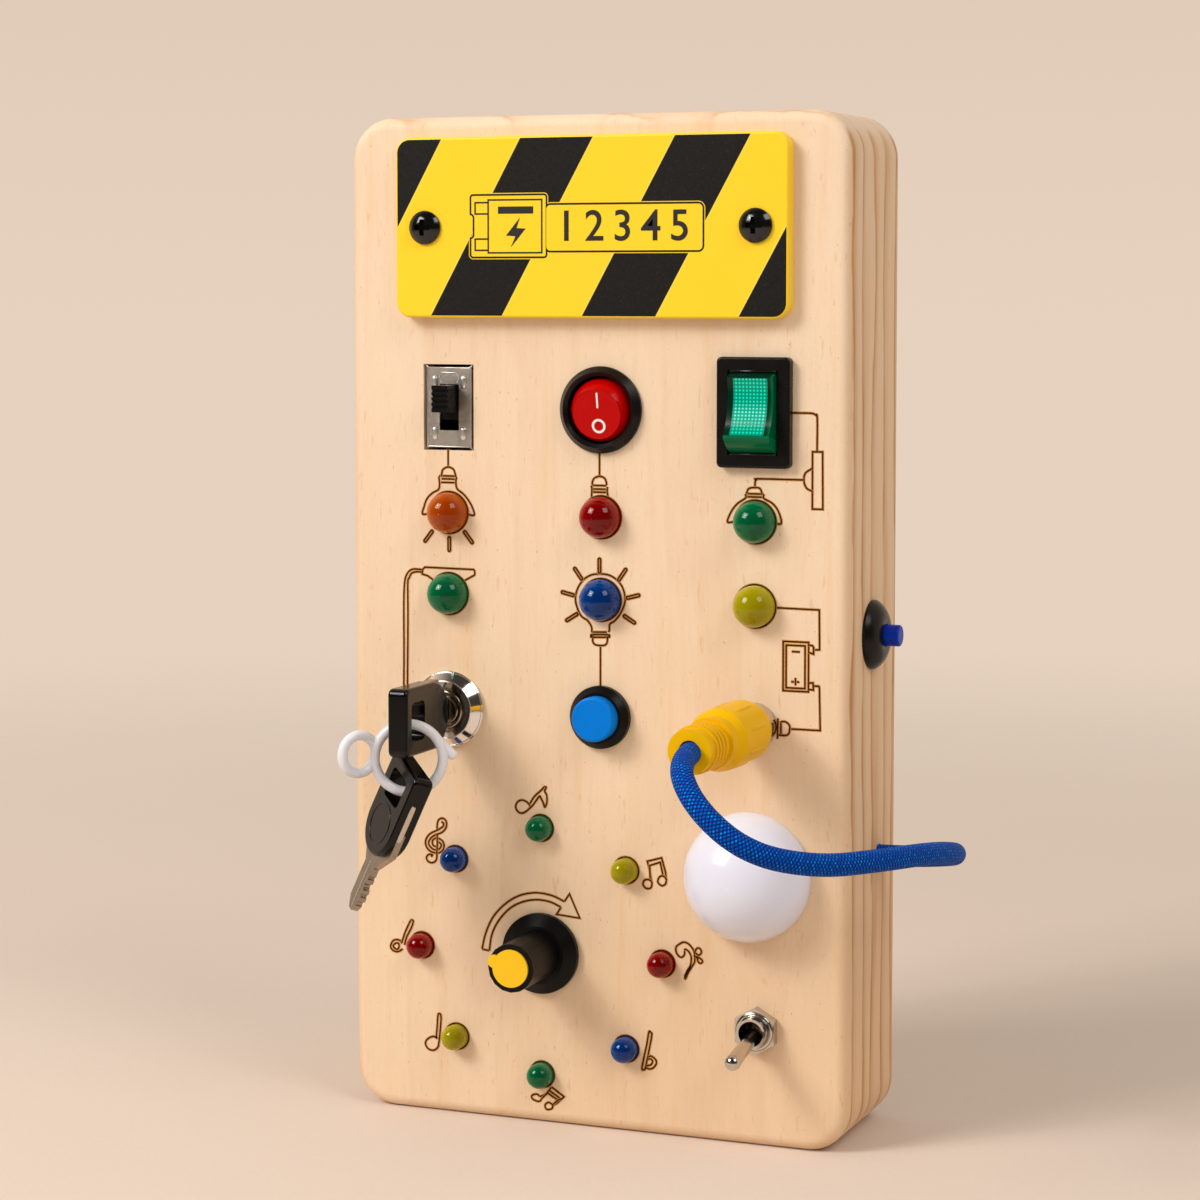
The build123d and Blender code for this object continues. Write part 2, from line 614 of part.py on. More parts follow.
with BuildPart() as slide_switch_base:
    block(SLIDE, CASE_INNER_WIDTH, CASE_INNER_HEIGHT, -SLIDE_CASE_DEPTH,
          SLIDE_BASE_THICKNESS - SLIDE_CASE_DEPTH)
save(slide_switch_base.part, "slide_switch_base")

# The slider rests at the top of its travel.
SLIDER = moved(SLIDE, 0, SLIDER_TRAVEL / 2)
SLIDER_TOP = -SLIDE_SHEET - RUNNING_GAP
with BuildPart() as slide_switch_slider:
    block(SLIDER, SLIDER_WIDTH, SLIDER_HEIGHT, SLIDER_TOP, SLIDER_RISE)
    block(SLIDER, SLIDER_FOOT_WIDTH, SLIDER_FOOT_HEIGHT, SLIDER_TOP - SLIDER_FOOT_DEPTH, SLIDER_TOP)
    rib_pitch = SLIDER_HEIGHT / (SLIDER_RIB_COUNT + 1)
    with BuildSketch(SLIDER.offset(SLIDER_RISE)):
        with GridLocations(0, rib_pitch, 1, SLIDER_RIB_COUNT):
            Rectangle(SLIDER_WIDTH, rib_pitch / 2)
    extrude(amount=-SLIDER_RIB, mode=Mode.SUBTRACT)
save(slide_switch_slider.part, "slide_switch_slider")

# ---------------------------------------------------------------- round rocker, rear half pressed: top out
ROUND_REACH = ROUND_CAP + CAP_GAP
ROUND_PIVOT = face(COLUMN_MIDDLE, ROW_SWITCHES, -ROUND_PIVOT_DEPTH)
with BuildPart() as round_rocker_housing:
    turn(ROUND, (ROUND_REACH, 0), (ROUND_BODY, 0), (ROUND_BEZEL, 0), (ROUND_BEZEL, ROUND_BEZEL_HEIGHT / 3),
         (ROUND_BODY, ROUND_BEZEL_HEIGHT), (ROUND_REACH, ROUND_BEZEL_HEIGHT * 0.7))
    ring(ROUND, ROUND_BODY, ROUND_REACH, -ROUND_BODY_DEPTH, 0)
    rod(ROUND, ROUND_REACH, -ROUND_BODY_DEPTH, ROUND_FLOOR - ROUND_BODY_DEPTH)
    pivot_rod(ROUND_PIVOT, ROCKER_PIN + RUNNING_GAP, ROUND_CAP + ROCKER_PIN_LENGTH + LOOSE_GAP, Mode.SUBTRACT)
save(round_rocker_housing.part, "round_rocker_housing")

# The cap is a slice of a ball about its pivot, so it swings inside the bezel. Tilted, its top stands out.
ROUND_CAP_SEAT = tipped(ROUND_PIVOT, about_x=ROUND_TILT)
CAP_FACE_HEIGHT = (ROUND_CAP**2 - ROUND_CAP_FACE**2) ** 0.5
with BuildPart() as round_rocker_cap:
    with BuildSketch(lengthways(ROUND_CAP_SEAT)) as cap_profile:
        with BuildLine():
            Polyline((ROUND_CAP_FACE, CAP_FACE_HEIGHT), (0, CAP_FACE_HEIGHT), (0, -CAP_FACE_HEIGHT),
                     (ROUND_CAP_FACE, -CAP_FACE_HEIGHT))
            ThreePointArc((ROUND_CAP_FACE, -CAP_FACE_HEIGHT), (ROUND_CAP, 0),
                          (ROUND_CAP_FACE, CAP_FACE_HEIGHT))
        make_face()
    revolve(axis=Axis(ROUND_CAP_SEAT.origin, ROUND_CAP_SEAT.z_dir))
    pivot_rod(ROUND_PIVOT, ROCKER_PIN, ROUND_CAP + ROCKER_PIN_LENGTH)
save(round_rocker_cap.part, "round_rocker_cap")

# ---------------------------------------------------------------- square rocker, top half pressed: bottom out
SQUARE_PIVOT = face(COLUMN_RIGHT, ROW_SWITCHES, -SQUARE_PIVOT_DEPTH)
SQUARE_PIN_END = SQUARE_MOUTH_WIDTH / 2 - CAP_GAP + ROCKER_PIN_LENGTH
SQUARE_MOUTH_HEIGHT = 2 * (SQUARE_CAP_REACH + CAP_GAP)
with BuildPart() as square_rocker_housing:
    block(SQUARE, SQUARE_BEZEL_WIDTH, SQUARE_BEZEL_HEIGHT, 0, SQUARE_BEZEL_RISE)
    fillet(square_rocker_housing.edges().filter_by(Axis.Y), radius=SQUARE_BEZEL_RISE / 2)
    fillet(square_rocker_housing.faces().sort_by(Axis.Y)[0].edges(), radius=SQUARE_BEZEL_RISE / 4)
    block(SQUARE, SQUARE_BODY_WIDTH, SQUARE_BODY_HEIGHT, -SQUARE_BODY_DEPTH, 0)
    block(SQUARE, SQUARE_MOUTH_WIDTH, SQUARE_MOUTH_HEIGHT, SQUARE_FLOOR - SQUARE_BODY_DEPTH,
          SQUARE_BEZEL_RISE, Mode.SUBTRACT)
    pivot_rod(SQUARE_PIVOT, ROCKER_PIN + RUNNING_GAP, SQUARE_PIN_END + LOOSE_GAP, Mode.SUBTRACT)
save(square_rocker_housing.part, "square_rocker_housing")

LIP_Y = SQUARE_CAP_REACH * cos(radians(SQUARE_LIP_ANGLE))
LIP_Z = SQUARE_CAP_REACH * sin(radians(SQUARE_LIP_ANGLE))
FOOT_Z = -LIP_Z / 2
FOOT_Y = (SQUARE_CAP_REACH**2 - FOOT_Z**2) ** 0.5
# Side view of the cap: local x is out of the board, local y is up. Its ends are arcs about the pivot.
CAP_LEVEL = Plane(origin=SQUARE_PIVOT.origin, x_dir=SQUARE_PIVOT.z_dir, z_dir=-SQUARE_PIVOT.x_dir)
CAP_SIDE = tipped(CAP_LEVEL, about_z=SQUARE_TILT)
with BuildPart() as square_rocker_cap:
    with BuildSketch(CAP_SIDE):
        with BuildLine():
            ThreePointArc((LIP_Z, LIP_Y), (LIP_Z - SQUARE_CAP_HOLLOW, 0), (LIP_Z, -LIP_Y))
            ThreePointArc((LIP_Z, -LIP_Y), (0, -SQUARE_CAP_REACH), (FOOT_Z, -FOOT_Y))
            Line((FOOT_Z, -FOOT_Y), (FOOT_Z, FOOT_Y))
            ThreePointArc((FOOT_Z, FOOT_Y), (0, SQUARE_CAP_REACH), (LIP_Z, LIP_Y))
        make_face()
    extrude(amount=SQUARE_CAP_WIDTH / 2, both=True)
    pivot_rod(SQUARE_PIVOT, ROCKER_PIN, SQUARE_PIN_END)
save(square_rocker_cap.part, "square_rocker_cap")

# ---------------------------------------------------------------- panel lamps, their leads and the ring board
for name, seat in BIG_LAMPS.items():
    with BuildPart() as lamp:
        lens(seat, BIG_LAMP, BIG_LAMP_RIM, BIG_LAMP_RIM_THICKNESS, BIG_LAMP_RISE)
    save(lamp.part, name)

# Opposite lamps of the ring are the same colour.
RING_COLOURS = ("green", "yellow", "red", "blue")
for index, colour in enumerate(RING_COLOURS):
    with BuildPart() as lamp_pair:
        for seat in RING_LAMPS[index::len(RING_COLOURS)]:
            lens(seat, SMALL_LAMP, SMALL_LAMP_RIM, SMALL_LAMP_RIM_THICKNESS, SMALL_LAMP_RISE)
    save(lamp_pair.part, f"ring_lamps_{colour}")

BIG_LEAD_TOP = WALL_BACK - BIG_LAMP_RIM_THICKNESS
SMALL_LEAD_TOP = WALL_BACK - SMALL_LAMP_RIM_THICKNESS
with BuildPart() as lamp_leads:
    for seat in BIG_LAMPS.values():
        for shift in (-LEAD_PITCH / 2, LEAD_PITCH / 2):
            lead = face(seat.origin.X + shift, seat.origin.Z)
            block(lead, LEAD_SIDE, LEAD_SIDE, BIG_LEAD_TOP - BIG_LEAD_LENGTH, BIG_LEAD_TOP)
    for seat in RING_LAMPS:
        for shift in (-LEAD_PITCH / 2, LEAD_PITCH / 2):
            lead = face(seat.origin.X + shift, seat.origin.Z)
            block(lead, LEAD_SIDE, LEAD_SIDE, SMALL_LEAD_TOP - SMALL_LEAD_LENGTH, SMALL_LEAD_TOP)
save(lamp_leads.part, "lamp_leads")

with BuildPart() as ring_board:
    ring(DIAL, RING_BOARD_OUTER, RING_BOARD_INNER, SMALL_LEAD_TOP - RING_BOARD_THICKNESS, SMALL_LEAD_TOP)
    for seat in RING_LAMPS:
        for shift in (-LEAD_PITCH / 2, LEAD_PITCH / 2):
            hole = face(seat.origin.X + shift, seat.origin.Z)
            rod(hole, LEAD_SIDE, SMALL_LEAD_TOP - RING_BOARD_THICKNESS, SMALL_LEAD_TOP, Mode.SUBTRACT)
save(ring_board.part, "ring_board")

# ---------------------------------------------------------------- dome lamp
DOME_INNER = DOME_RADIUS - DOME_SHELL
DOME_NECK_INNER = DOME_NECK - DOME_SHELL
DOME_FLOOR_ANGLE = degrees(asin(DOME_SHELL / DOME_INNER))
with BuildPart() as dome_lens:
    with BuildSketch(lengthways(DOME)) as dome_profile:
        with BuildLine():
            CenterArc((0, 0), DOME_RADIUS, 0, 90)
            Line((0, DOME_RADIUS), (0, DOME_INNER))
            inner_arc = CenterArc((0, 0), DOME_INNER, DOME_FLOOR_ANGLE, 90 - DOME_FLOOR_ANGLE)
            Polyline(inner_arc @ 0, (DOME_NECK_INNER, DOME_SHELL), (DOME_NECK_INNER, WALL_BACK),
                     (DOME_NECK, WALL_BACK), (DOME_NECK, 0), (DOME_RADIUS, 0))
        make_face()
    revolve(axis=Axis(DOME.origin, DOME.z_dir))
save(dome_lens.part, "dome_lens")

with BuildPart() as dome_board:
    rod(DOME, DOME_NECK, WALL_BACK - DOME_BOARD_THICKNESS, WALL_BACK)
save(dome_board.part, "dome_board")

with BuildPart() as dome_chip:
    block(DOME, DOME_CHIP, DOME_CHIP, WALL_BACK, WALL_BACK + DOME_CHIP_THICKNESS)
save(dome_chip.part, "dome_chip")

# ---------------------------------------------------------------- key lock
LOCK_BORE = LOCK_PLUG + RUNNING_GAP
with BuildPart() as lock_housing:
    turn(LOCK, (LOCK_BORE, LOCK_FLOOR - LOCK_BARREL_DEPTH), (0, LOCK_FLOOR - LOCK_BARREL_DEPTH),
         (0, -LOCK_BARREL_DEPTH), (LOCK_BARREL, -LOCK_BARREL_DEPTH), (LOCK_BARREL, 0), (LOCK_FLANGE, 0),
         (LOCK_FLANGE, LOCK_FLANGE_HEIGHT / 4), (LOCK_FLANGE_FACE, LOCK_FLANGE_HEIGHT),
         (LOCK_BORE, LOCK_FLANGE_HEIGHT))
save(lock_housing.part, "lock_housing")

PLUG_BOTTOM = LOCK_FLOOR - LOCK_BARREL_DEPTH + LOOSE_GAP
with BuildPart() as lock_plug:
    rod(LOCK, LOCK_PLUG, PLUG_BOTTOM, LOCK_PLUG_RISE)
    block(LOCK, KEY_BLADE_THICKNESS + 2 * LOOSE_GAP, KEY_BLADE_WIDTH + 2 * LOOSE_GAP,
          LOCK_PLUG_RISE - KEY_BLADE_LENGTH - 2 * LOOSE_GAP, LOCK_PLUG_RISE, Mode.SUBTRACT)
save(lock_plug.part, "lock_plug")

with BuildPart() as panel_nuts_large:
    nut(LOCK, M12_NUT_FLATS, LOCK_BARREL + LOOSE_GAP, WALL_BACK - NUT_THICKNESS, NUT_THICKNESS)
    nut(SIDE_BUTTON, M12_NUT_FLATS, LOCK_BARREL + LOOSE_GAP, -SIDE_WALL - NUT_THICKNESS, NUT_THICKNESS)
save(panel_nuts_large.part, "panel_nuts_large")


# ---------------------------------------------------------------- keys
# A key's plane lies in its blade: local x runs from the shoulder to the bow's end, local y across it.
def key_metal(seat):
    """The blank: a notched blade, shoulders and a plate between the halves of the bow."""
    half = KEY_BLADE_WIDTH / 2
    wide = KEY_BOW_WIDTH / 2
    with BuildSketch(seat) as blank:
        with BuildLine():
            Polyline((-KEY_BLADE_LENGTH, -half / 3), (-KEY_BLADE_LENGTH + half, -half), (0, -half),
                     (2 * KEY_NECK, -wide), (KEY_TRIM_LENGTH, -wide), (KEY_TRIM_LENGTH, wide),
                     (2 * KEY_NECK, wide), (0, half), (-KEY_BLADE_LENGTH + half, half),
                     (-KEY_BLADE_LENGTH, half / 3), close=True)
        make_face()
        for index in range(KEY_NOTCH_COUNT):
            place = -KEY_BLADE_LENGTH * (index + 1) / (KEY_NOTCH_COUNT + 1)
            with Locations((place, -half)):
                Circle(KEY_NOTCH * (1 + index % 2) / 2, mode=Mode.SUBTRACT)
    extrude(blank.sketch, amount=KEY_BLADE_THICKNESS / 2, both=True)


def key_cover(seat):
    """The moulded bow: slotted for the tie, recessed for the thumb, hollow where the blank goes in."""
    end = KEY_NECK + KEY_BOW_LENGTH
    wide = KEY_BOW_WIDTH / 2
    with BuildSketch(seat) as outline:
        with BuildLine():
            Polyline((KEY_NECK + wide, -wide), (end, -wide), (end, wide), (KEY_NECK + wide, wide))
            ThreePointArc((KEY_NECK + wide, wide), (KEY_NECK, 0), (KEY_NECK + wide, -wide))
        make_face()
    extrude(outline.sketch, amount=KEY_BOW_THICKNESS / 2, both=True)
    through = Axis(seat.origin, seat.z_dir)
    fillet(edges().filter_by(through), radius=KEY_BOW_THICKNESS / 3)
    fillet(faces().filter_by(through).edges(), radius=KEY_BOW_THICKNESS / 6)
    slot_middle = end - KEY_SLOT_MARGIN - KEY_SLOT_LENGTH / 2
    with BuildSketch(seat) as slot:
        with Locations((slot_middle, 0)):
            RectangleRounded(KEY_SLOT_LENGTH, KEY_SLOT_WIDTH, KEY_SLOT_LENGTH / 5)
    extrude(slot.sketch, amount=KEY_BOW_THICKNESS, both=True, mode=Mode.SUBTRACT)
    with BuildSketch(seat) as cavity:
        with Locations(((KEY_TRIM_LENGTH + KEY_NECK) / 2, 0)):
            Rectangle(KEY_TRIM_LENGTH - KEY_NECK, KEY_BOW_WIDTH)
    extrude(cavity.sketch, amount=KEY_BLADE_THICKNESS / 2, both=True, mode=Mode.SUBTRACT)


KEY_SHOULDER = LOCK.from_local_coords((0, 0, LOCK_PLUG_RISE + LOOSE_GAP))
KEY = Plane(origin=KEY_SHOULDER, x_dir=(0, -1, 0), z_dir=(-1, 0, 0))
KEY_SLOT_PLACE = KEY_NECK + KEY_BOW_LENGTH - KEY_SLOT_MARGIN - KEY_SLOT_LENGTH / 2

# The tie hangs in the slot of the key's bow. Its ring turns about its own middle.
TIE_CENTRE = KEY.from_local_coords((KEY_SLOT_PLACE, -TIE_DROP, 0))
TIE_ACROSS = (cos(radians(TIE_YAW)), sin(radians(TIE_YAW)), 0)
TIE = Plane(origin=TIE_CENTRE, x_dir=TIE_ACROSS, z_dir=(sin(radians(TIE_YAW)), -cos(radians(TIE_YAW)), 0))

# The spare key hangs at the bottom of the tie's ring, leaning and twisted.
SPARE_OFFSET = (-SPARE_OFFSET_ACROSS, SPARE_OFFSET_UP - TIE_RING, SPARE_OFFSET_OUT)
SPARE_SLOT = TIE.from_local_coords(SPARE_OFFSET)
SPARE_UP = Vector(sin(radians(SPARE_LEAN)), 0, cos(radians(SPARE_LEAN)))
SPARE_HANG = Plane(origin=SPARE_SLOT, x_dir=SPARE_UP, z_dir=(0, -1, 0))
SPARE = moved(tipped(SPARE_HANG, about_x=-SPARE_TWIST), -KEY_SLOT_PLACE, 0)

with BuildPart() as key_blade:
    key_metal(KEY)
save(key_blade.part, "key_blade")

with BuildPart() as key_bow:
    key_cover(KEY)
save(key_bow.part, "key_bow")

with BuildPart() as spare_key_blade:
    key_metal(SPARE)
save(spare_key_blade.part, "spare_key_blade")

with BuildPart() as spare_key_bow:
    key_cover(SPARE)
save(spare_key_bow.part, "spare_key_bow")

LOOP_MIDDLE = TIE.from_local_coords((-TIE_RING - TIE_LOOP * cos(radians(TIE_LOOP_YAW)), TIE_LOOP_UP,
                                     TIE_LOOP * sin(radians(TIE_LOOP_YAW)) - TIE_LOOP_BEHIND))
LOOP_TURN = radians(TIE_YAW + TIE_LOOP_YAW)
LOOP = Plane(origin=LOOP_MIDDLE, x_dir=(cos(LOOP_TURN), sin(LOOP_TURN), 0),
             z_dir=(sin(LOOP_TURN), -cos(LOOP_TURN), 0))
TAIL_START = TIE.from_local_coords((TIE_RING * cos(radians(TIE_TAIL_ANGLE)),
                                    TIE_RING * sin(radians(TIE_TAIL_ANGLE)), -TIE_TAIL_BEHIND))
TAIL_ALONG = TIE.x_dir * cos(radians(TIE_TAIL_LEAN)) - TIE.y_dir * sin(radians(TIE_TAIL_LEAN))
TAIL = Plane(origin=TAIL_START, x_dir=TIE.z_dir, z_dir=TAIL_ALONG)
with BuildPart() as key_tie:
    for seat, radius in ((TIE, TIE_RING), (LOOP, TIE_LOOP)):
        with BuildSketch(lengthways(seat)) as section:
            with Locations((radius, 0)):
                Circle(TIE_THICKNESS)
        revolve(section.sketch, axis=Axis(seat.origin, seat.z_dir))
    rod(TAIL, TIE_THICKNESS, 0, TIE_TAIL_LENGTH)
    with Locations(TAIL.from_local_coords((0, 0, TIE_TAIL_LENGTH))):
        Sphere(TIE_THICKNESS)
save(key_tie.part, "key_tie")

# ---------------------------------------------------------------- push button on the face
BUTTON_BORE = BUTTON_CAP + LOOSE_GAP
BUTTON_CAP_FOOT = LOOSE_GAP
with BuildPart() as push_button_housing:
    turn(BUTTON, (BUTTON_BORE, 0), (BUTTON_RING, 0), (BUTTON_RING, BUTTON_RING_HEIGHT / 2),
         (BUTTON_BARREL, BUTTON_RING_HEIGHT), (BUTTON_BORE, BUTTON_RING_HEIGHT))
    ring(BUTTON, BUTTON_BARREL, BUTTON_BORE, -BUTTON_STROKE - LOOSE_GAP, 0)
    ring(BUTTON, BUTTON_BARREL, BUTTON_STEM + LOOSE_GAP, -BUTTON_BARREL_DEPTH, -BUTTON_STROKE - LOOSE_GAP)
save(push_button_housing.part, "push_button_housing")

with BuildPart() as push_button_cap:
    rod(BUTTON, BUTTON_CAP, BUTTON_CAP_FOOT, BUTTON_RISE)
    fillet(push_button_cap.faces().sort_by(Axis.Y)[0].edges(), radius=BUTTON_CAP / 8)
    rod(BUTTON, BUTTON_STEM, BUTTON_STROKE - BUTTON_BARREL_DEPTH, BUTTON_CAP_FOOT)
save(push_button_cap.part, "push_button_cap")

with BuildPart() as push_button_nut:
    nut(BUTTON, BUTTON_NUT_FLATS, BUTTON_BARREL + LOOSE_GAP, WALL_BACK - NUT_THICKNESS, NUT_THICKNESS)
save(push_button_nut.part, "push_button_nut")

# ---------------------------------------------------------------- push button on the right side
SIDE_BORE = SIDE_CAP + LOOSE_GAP
SIDE_FOOT_TOP = -SIDE_WALL
with BuildPart() as side_button_housing:
    turn_arched(SIDE_BUTTON, (SIDE_FLANGE, SIDE_FLANGE_RIM), SIDE_FLANGE_BULGE,
                (SIDE_FLANGE_FACE, SIDE_FLANGE_HEIGHT),
                (SIDE_BORE, SIDE_FLANGE_HEIGHT), (SIDE_BORE, SIDE_FOOT_TOP), (LOCK_BARREL, SIDE_FOOT_TOP),
                (LOCK_BARREL, 0), (SIDE_FLANGE, 0))
    ring(SIDE_BUTTON, LOCK_BARREL, SIDE_STEM_FOOT + LOOSE_GAP, -SIDE_BARREL_DEPTH, SIDE_FOOT_TOP)
    rod(SIDE_BUTTON, LOCK_BARREL, -SIDE_BARREL_DEPTH - NUT_THICKNESS, -SIDE_BARREL_DEPTH)
save(side_button_housing.part, "side_button_housing")

with BuildPart() as side_button_cap:
    rod(SIDE_BUTTON, SIDE_CAP, SIDE_FOOT_TOP - LOOSE_GAP, SIDE_CAP_RISE)
    fillet(side_button_cap.faces().sort_by(Axis.X)[-1].edges(), radius=SIDE_CAP / 5)
    rod(SIDE_BUTTON, SIDE_STEM_FOOT, SIDE_STROKE + LOOSE_GAP - SIDE_BARREL_DEPTH, SIDE_FOOT_TOP - LOOSE_GAP)
save(side_button_cap.part, "side_button_cap")

# ---------------------------------------------------------------- jack socket and plug
JACK_BORE = PLUG_PIN + RUNNING_GAP
with BuildPart() as jack_socket:
    turn(JACK, (JACK_BORE, -JACK_BARREL_DEPTH), (JACK_BARREL, -JACK_BARREL_DEPTH), (JACK_BARREL, 0),
         (JACK_COLLAR, 0), (JACK_COLLAR, JACK_COLLAR_HEIGHT - LOOSE_GAP),
         (JACK_COLLAR - LOOSE_GAP, JACK_COLLAR_HEIGHT), (JACK_BORE, JACK_COLLAR_HEIGHT))
save(jack_socket.part, "jack_socket")

with BuildPart() as panel_nuts_small:
    nut(JACK, M6_NUT_FLATS, JACK_BARREL + LOOSE_GAP, WALL_BACK - NUT_THICKNESS, NUT_THICKNESS)
    nut(TOGGLE, M6_NUT_FLATS, TOGGLE_BUSHING + LOOSE_GAP, 0, NUT_THICKNESS)
save(panel_nuts_small.part, "panel_nuts_small")

PLUG_FRONT = JACK_COLLAR_HEIGHT + LOOSE_GAP
PLUG_END = PLUG_FRONT + PLUG_LENGTH
PLUG_WAIST = PLUG_FRONT + PLUG_LENGTH * 0.52
PLUG_TAIL_START = PLUG_FRONT + PLUG_LENGTH * 0.68
with BuildPart() as plug_body:
    turn(JACK, (PLUG_PIN, PLUG_FRONT), (PLUG_NOSE, PLUG_FRONT), (PLUG_BODY, PLUG_FRONT + 2 * PLUG_NOSE / 3),
         (PLUG_BODY, PLUG_WAIST), (PLUG_SHOULDER, PLUG_WAIST + PLUG_BODY / 3),
         (PLUG_SHOULDER, PLUG_TAIL_START), (PLUG_TAIL, PLUG_TAIL_START), (PLUG_TAIL, PLUG_END),
         (CORD_RADIUS, PLUG_END), (CORD_RADIUS, PLUG_END - PLUG_SOCKET_DEPTH),
         (PLUG_PIN, PLUG_END - PLUG_SOCKET_DEPTH))
    rib_pitch = (PLUG_END - PLUG_TAIL_START) / (PLUG_RIB_COUNT + 2)
    for index in range(PLUG_RIB_COUNT):
        low = PLUG_TAIL_START + rib_pitch * (index + 1)
        ring(JACK, PLUG_TAIL + PLUG_RIB, PLUG_TAIL - PLUG_RIB, low, low + rib_pitch / 2)
save(plug_body.part, "plug_body")

with BuildPart() as plug_pin:
    rod(JACK, PLUG_PIN, PLUG_FRONT - PLUG_PIN_LENGTH, PLUG_END - PLUG_SOCKET_DEPTH)
save(plug_pin.part, "plug_pin")

# ---------------------------------------------------------------- tether cord
# Straight runs joined by tangent arcs, from its stop inside the board to the bottom of the plug's socket.
CORD_INNER_END = SIDE - SIDE_WALL - LOOSE_GAP - CORD_STOP_LENGTH
CORD_START = (CORD_INNER_END, CORD_HOLE_BACK, CORD_HOLE_HEIGHT)
CORD_FINISH = (COLUMN_RIGHT, FRONT - PLUG_END + PLUG_SOCKET_DEPTH, ROW_LOCK)
CORD_POINTS = [
    CORD_START, (56.5, 4, 55), (68.5, -1.5, 57), (73.5, -14, 60), (72.5, -28.5, 62.5), (67.5, -43, 63.3),
    (59.4, -56.5, 63.8), (49.6, -67, 67.5), (39.9, -67.8, 75.6), (COLUMN_RIGHT, -59, ROW_LOCK), CORD_FINISH,
]
CORD_BEND_SHARE = 0.45


def bend_radii(points, share):
    """As large a radius at each corner as its two runs allow."""
    radii = []
    for before, corner, after in zip(points, points[1:], points[2:]):
        arriving = Vector(*corner) - Vector(*before)
        leaving = Vector(*after) - Vector(*corner)
        half_turn = radians(arriving.get_angle(leaving)) / 2
        radii.append(share * min(arriving.length, leaving.length) * cos(half_turn) / sin(half_turn))
    return radii


CORD_BENDS = bend_radii(CORD_POINTS, CORD_BEND_SHARE)
with BuildPart() as tether_cord:
    with BuildLine() as cord_route:
        FilletPolyline(*CORD_POINTS, radius=CORD_BENDS)
    with BuildSketch(Plane(origin=CORD_START, z_dir=(1, 0, 0))):
        Circle(CORD_RADIUS)
    sweep(path=cord_route.wire())
save(tether_cord.part, "tether_cord")
print("cord bends", [round(radius, 1) for radius in CORD_BENDS], "length", round(cord_route.wire().length, 1))
print("cord volume ratio", tether_cord.part.volume / (cord_route.wire().length * 3.14159265 * CORD_RADIUS**2))

with BuildPart() as cord_stop:
    ring(CORD_EXIT, CORD_STOP_RADIUS, CORD_RADIUS, -SIDE_WALL - LOOSE_GAP - CORD_STOP_LENGTH,
         -SIDE_WALL - LOOSE_GAP)
save(cord_stop.part, "cord_stop")

# ---------------------------------------------------------------- dial
SHAFT_TOP = KNOB_HEIGHT - KNOB_CROWN
with BuildPart() as pot_body:
    turn(DIAL, (POT_SHAFT + RUNNING_GAP, WALL_BACK - POT_BODY_DEPTH + POT_BUSHING_RISE),
         (0, WALL_BACK - POT_BODY_DEPTH + POT_BUSHING_RISE), (0, WALL_BACK - POT_BODY_DEPTH),
         (POT_BODY, WALL_BACK - POT_BODY_DEPTH), (POT_BODY, WALL_BACK), (POT_BUSHING, WALL_BACK),
         (POT_BUSHING, POT_BUSHING_RISE), (POT_SHAFT + RUNNING_GAP, POT_BUSHING_RISE))
save(pot_body.part, "pot_body")

with BuildPart() as pot_nut:
    nut(DIAL, POT_NUT_FLATS, POT_BUSHING + LOOSE_GAP, 0, NUT_THICKNESS)
save(pot_nut.part, "pot_nut")

with BuildPart() as pot_shaft:
    rod(DIAL, POT_SHAFT, WALL_BACK - POT_BODY_DEPTH + POT_BUSHING_RISE + LOOSE_GAP, SHAFT_TOP)
save(pot_shaft.part, "pot_shaft")


def pointer_outline(seat, extra=0.0):
    """A disc with a rounded tongue that points out along the seat's local x."""
    with BuildSketch(seat) as outline:
        Circle(POINTER_DISC + extra)
        with Locations(((POINTER_REACH - POINTER_TIP) / 2, 0)):
            Rectangle(POINTER_REACH - POINTER_TIP, 2 * (POINTER_TIP + extra))
        with Locations((POINTER_REACH - POINTER_TIP, 0)):
            Circle(POINTER_TIP + extra)
    return outline.sketch


NUT_ROOM = POT_NUT_FLATS / 2 / cos(radians(30)) + CAP_GAP
SKIRT_TOP = KNOB_LIFT + KNOB_SKIRT_HEIGHT + KNOB_SKIRT_SLOPE
POINTER = face(DIAL_X, DIAL_HEIGHT, KNOB_HEIGHT - POINTER_DEPTH, POINTER_ANGLE)
with BuildPart() as knob_body:
    turn(DIAL, (0, KNOB_LIFT), (KNOB_SKIRT, KNOB_LIFT), (KNOB_SKIRT, KNOB_LIFT + KNOB_SKIRT_HEIGHT),
         (KNOB_GRIP + KNOB_SKIRT_HEIGHT, SKIRT_TOP), (0, SKIRT_TOP))
    with BuildSketch(DIAL.offset(KNOB_LIFT)):
        RegularPolygon(KNOB_GRIP, KNOB_GRIP_SIDES)
    extrude(amount=KNOB_HEIGHT - KNOB_LIFT)
    rod(DIAL, NUT_ROOM, KNOB_LIFT, SKIRT_TOP - KNOB_SKIRT_HEIGHT / 2, Mode.SUBTRACT)
    rod(DIAL, POT_BUSHING + CAP_GAP, KNOB_LIFT, POT_BUSHING_RISE + CAP_GAP, Mode.SUBTRACT)
    rod(DIAL, POT_SHAFT, KNOB_LIFT, SHAFT_TOP, Mode.SUBTRACT)
    extrude(pointer_outline(POINTER), amount=POINTER_DEPTH, mode=Mode.SUBTRACT)
save(knob_body.part, "knob_body")

with BuildPart() as knob_pointer:
    extrude(pointer_outline(POINTER), amount=POINTER_DEPTH + POINTER_RISE)
save(knob_pointer.part, "knob_pointer")

# ---------------------------------------------------------------- toggle switch, lever down
TOGGLE_PIVOT = TOGGLE.offset(-TOGGLE_PIVOT_DEPTH)
with BuildPart() as toggle_bushing:
    ring(TOGGLE, TOGGLE_BUSHING, TOGGLE_BORE, WALL_BACK, TOGGLE_BUSHING_RISE)
save(toggle_bushing.part, "toggle_bushing")

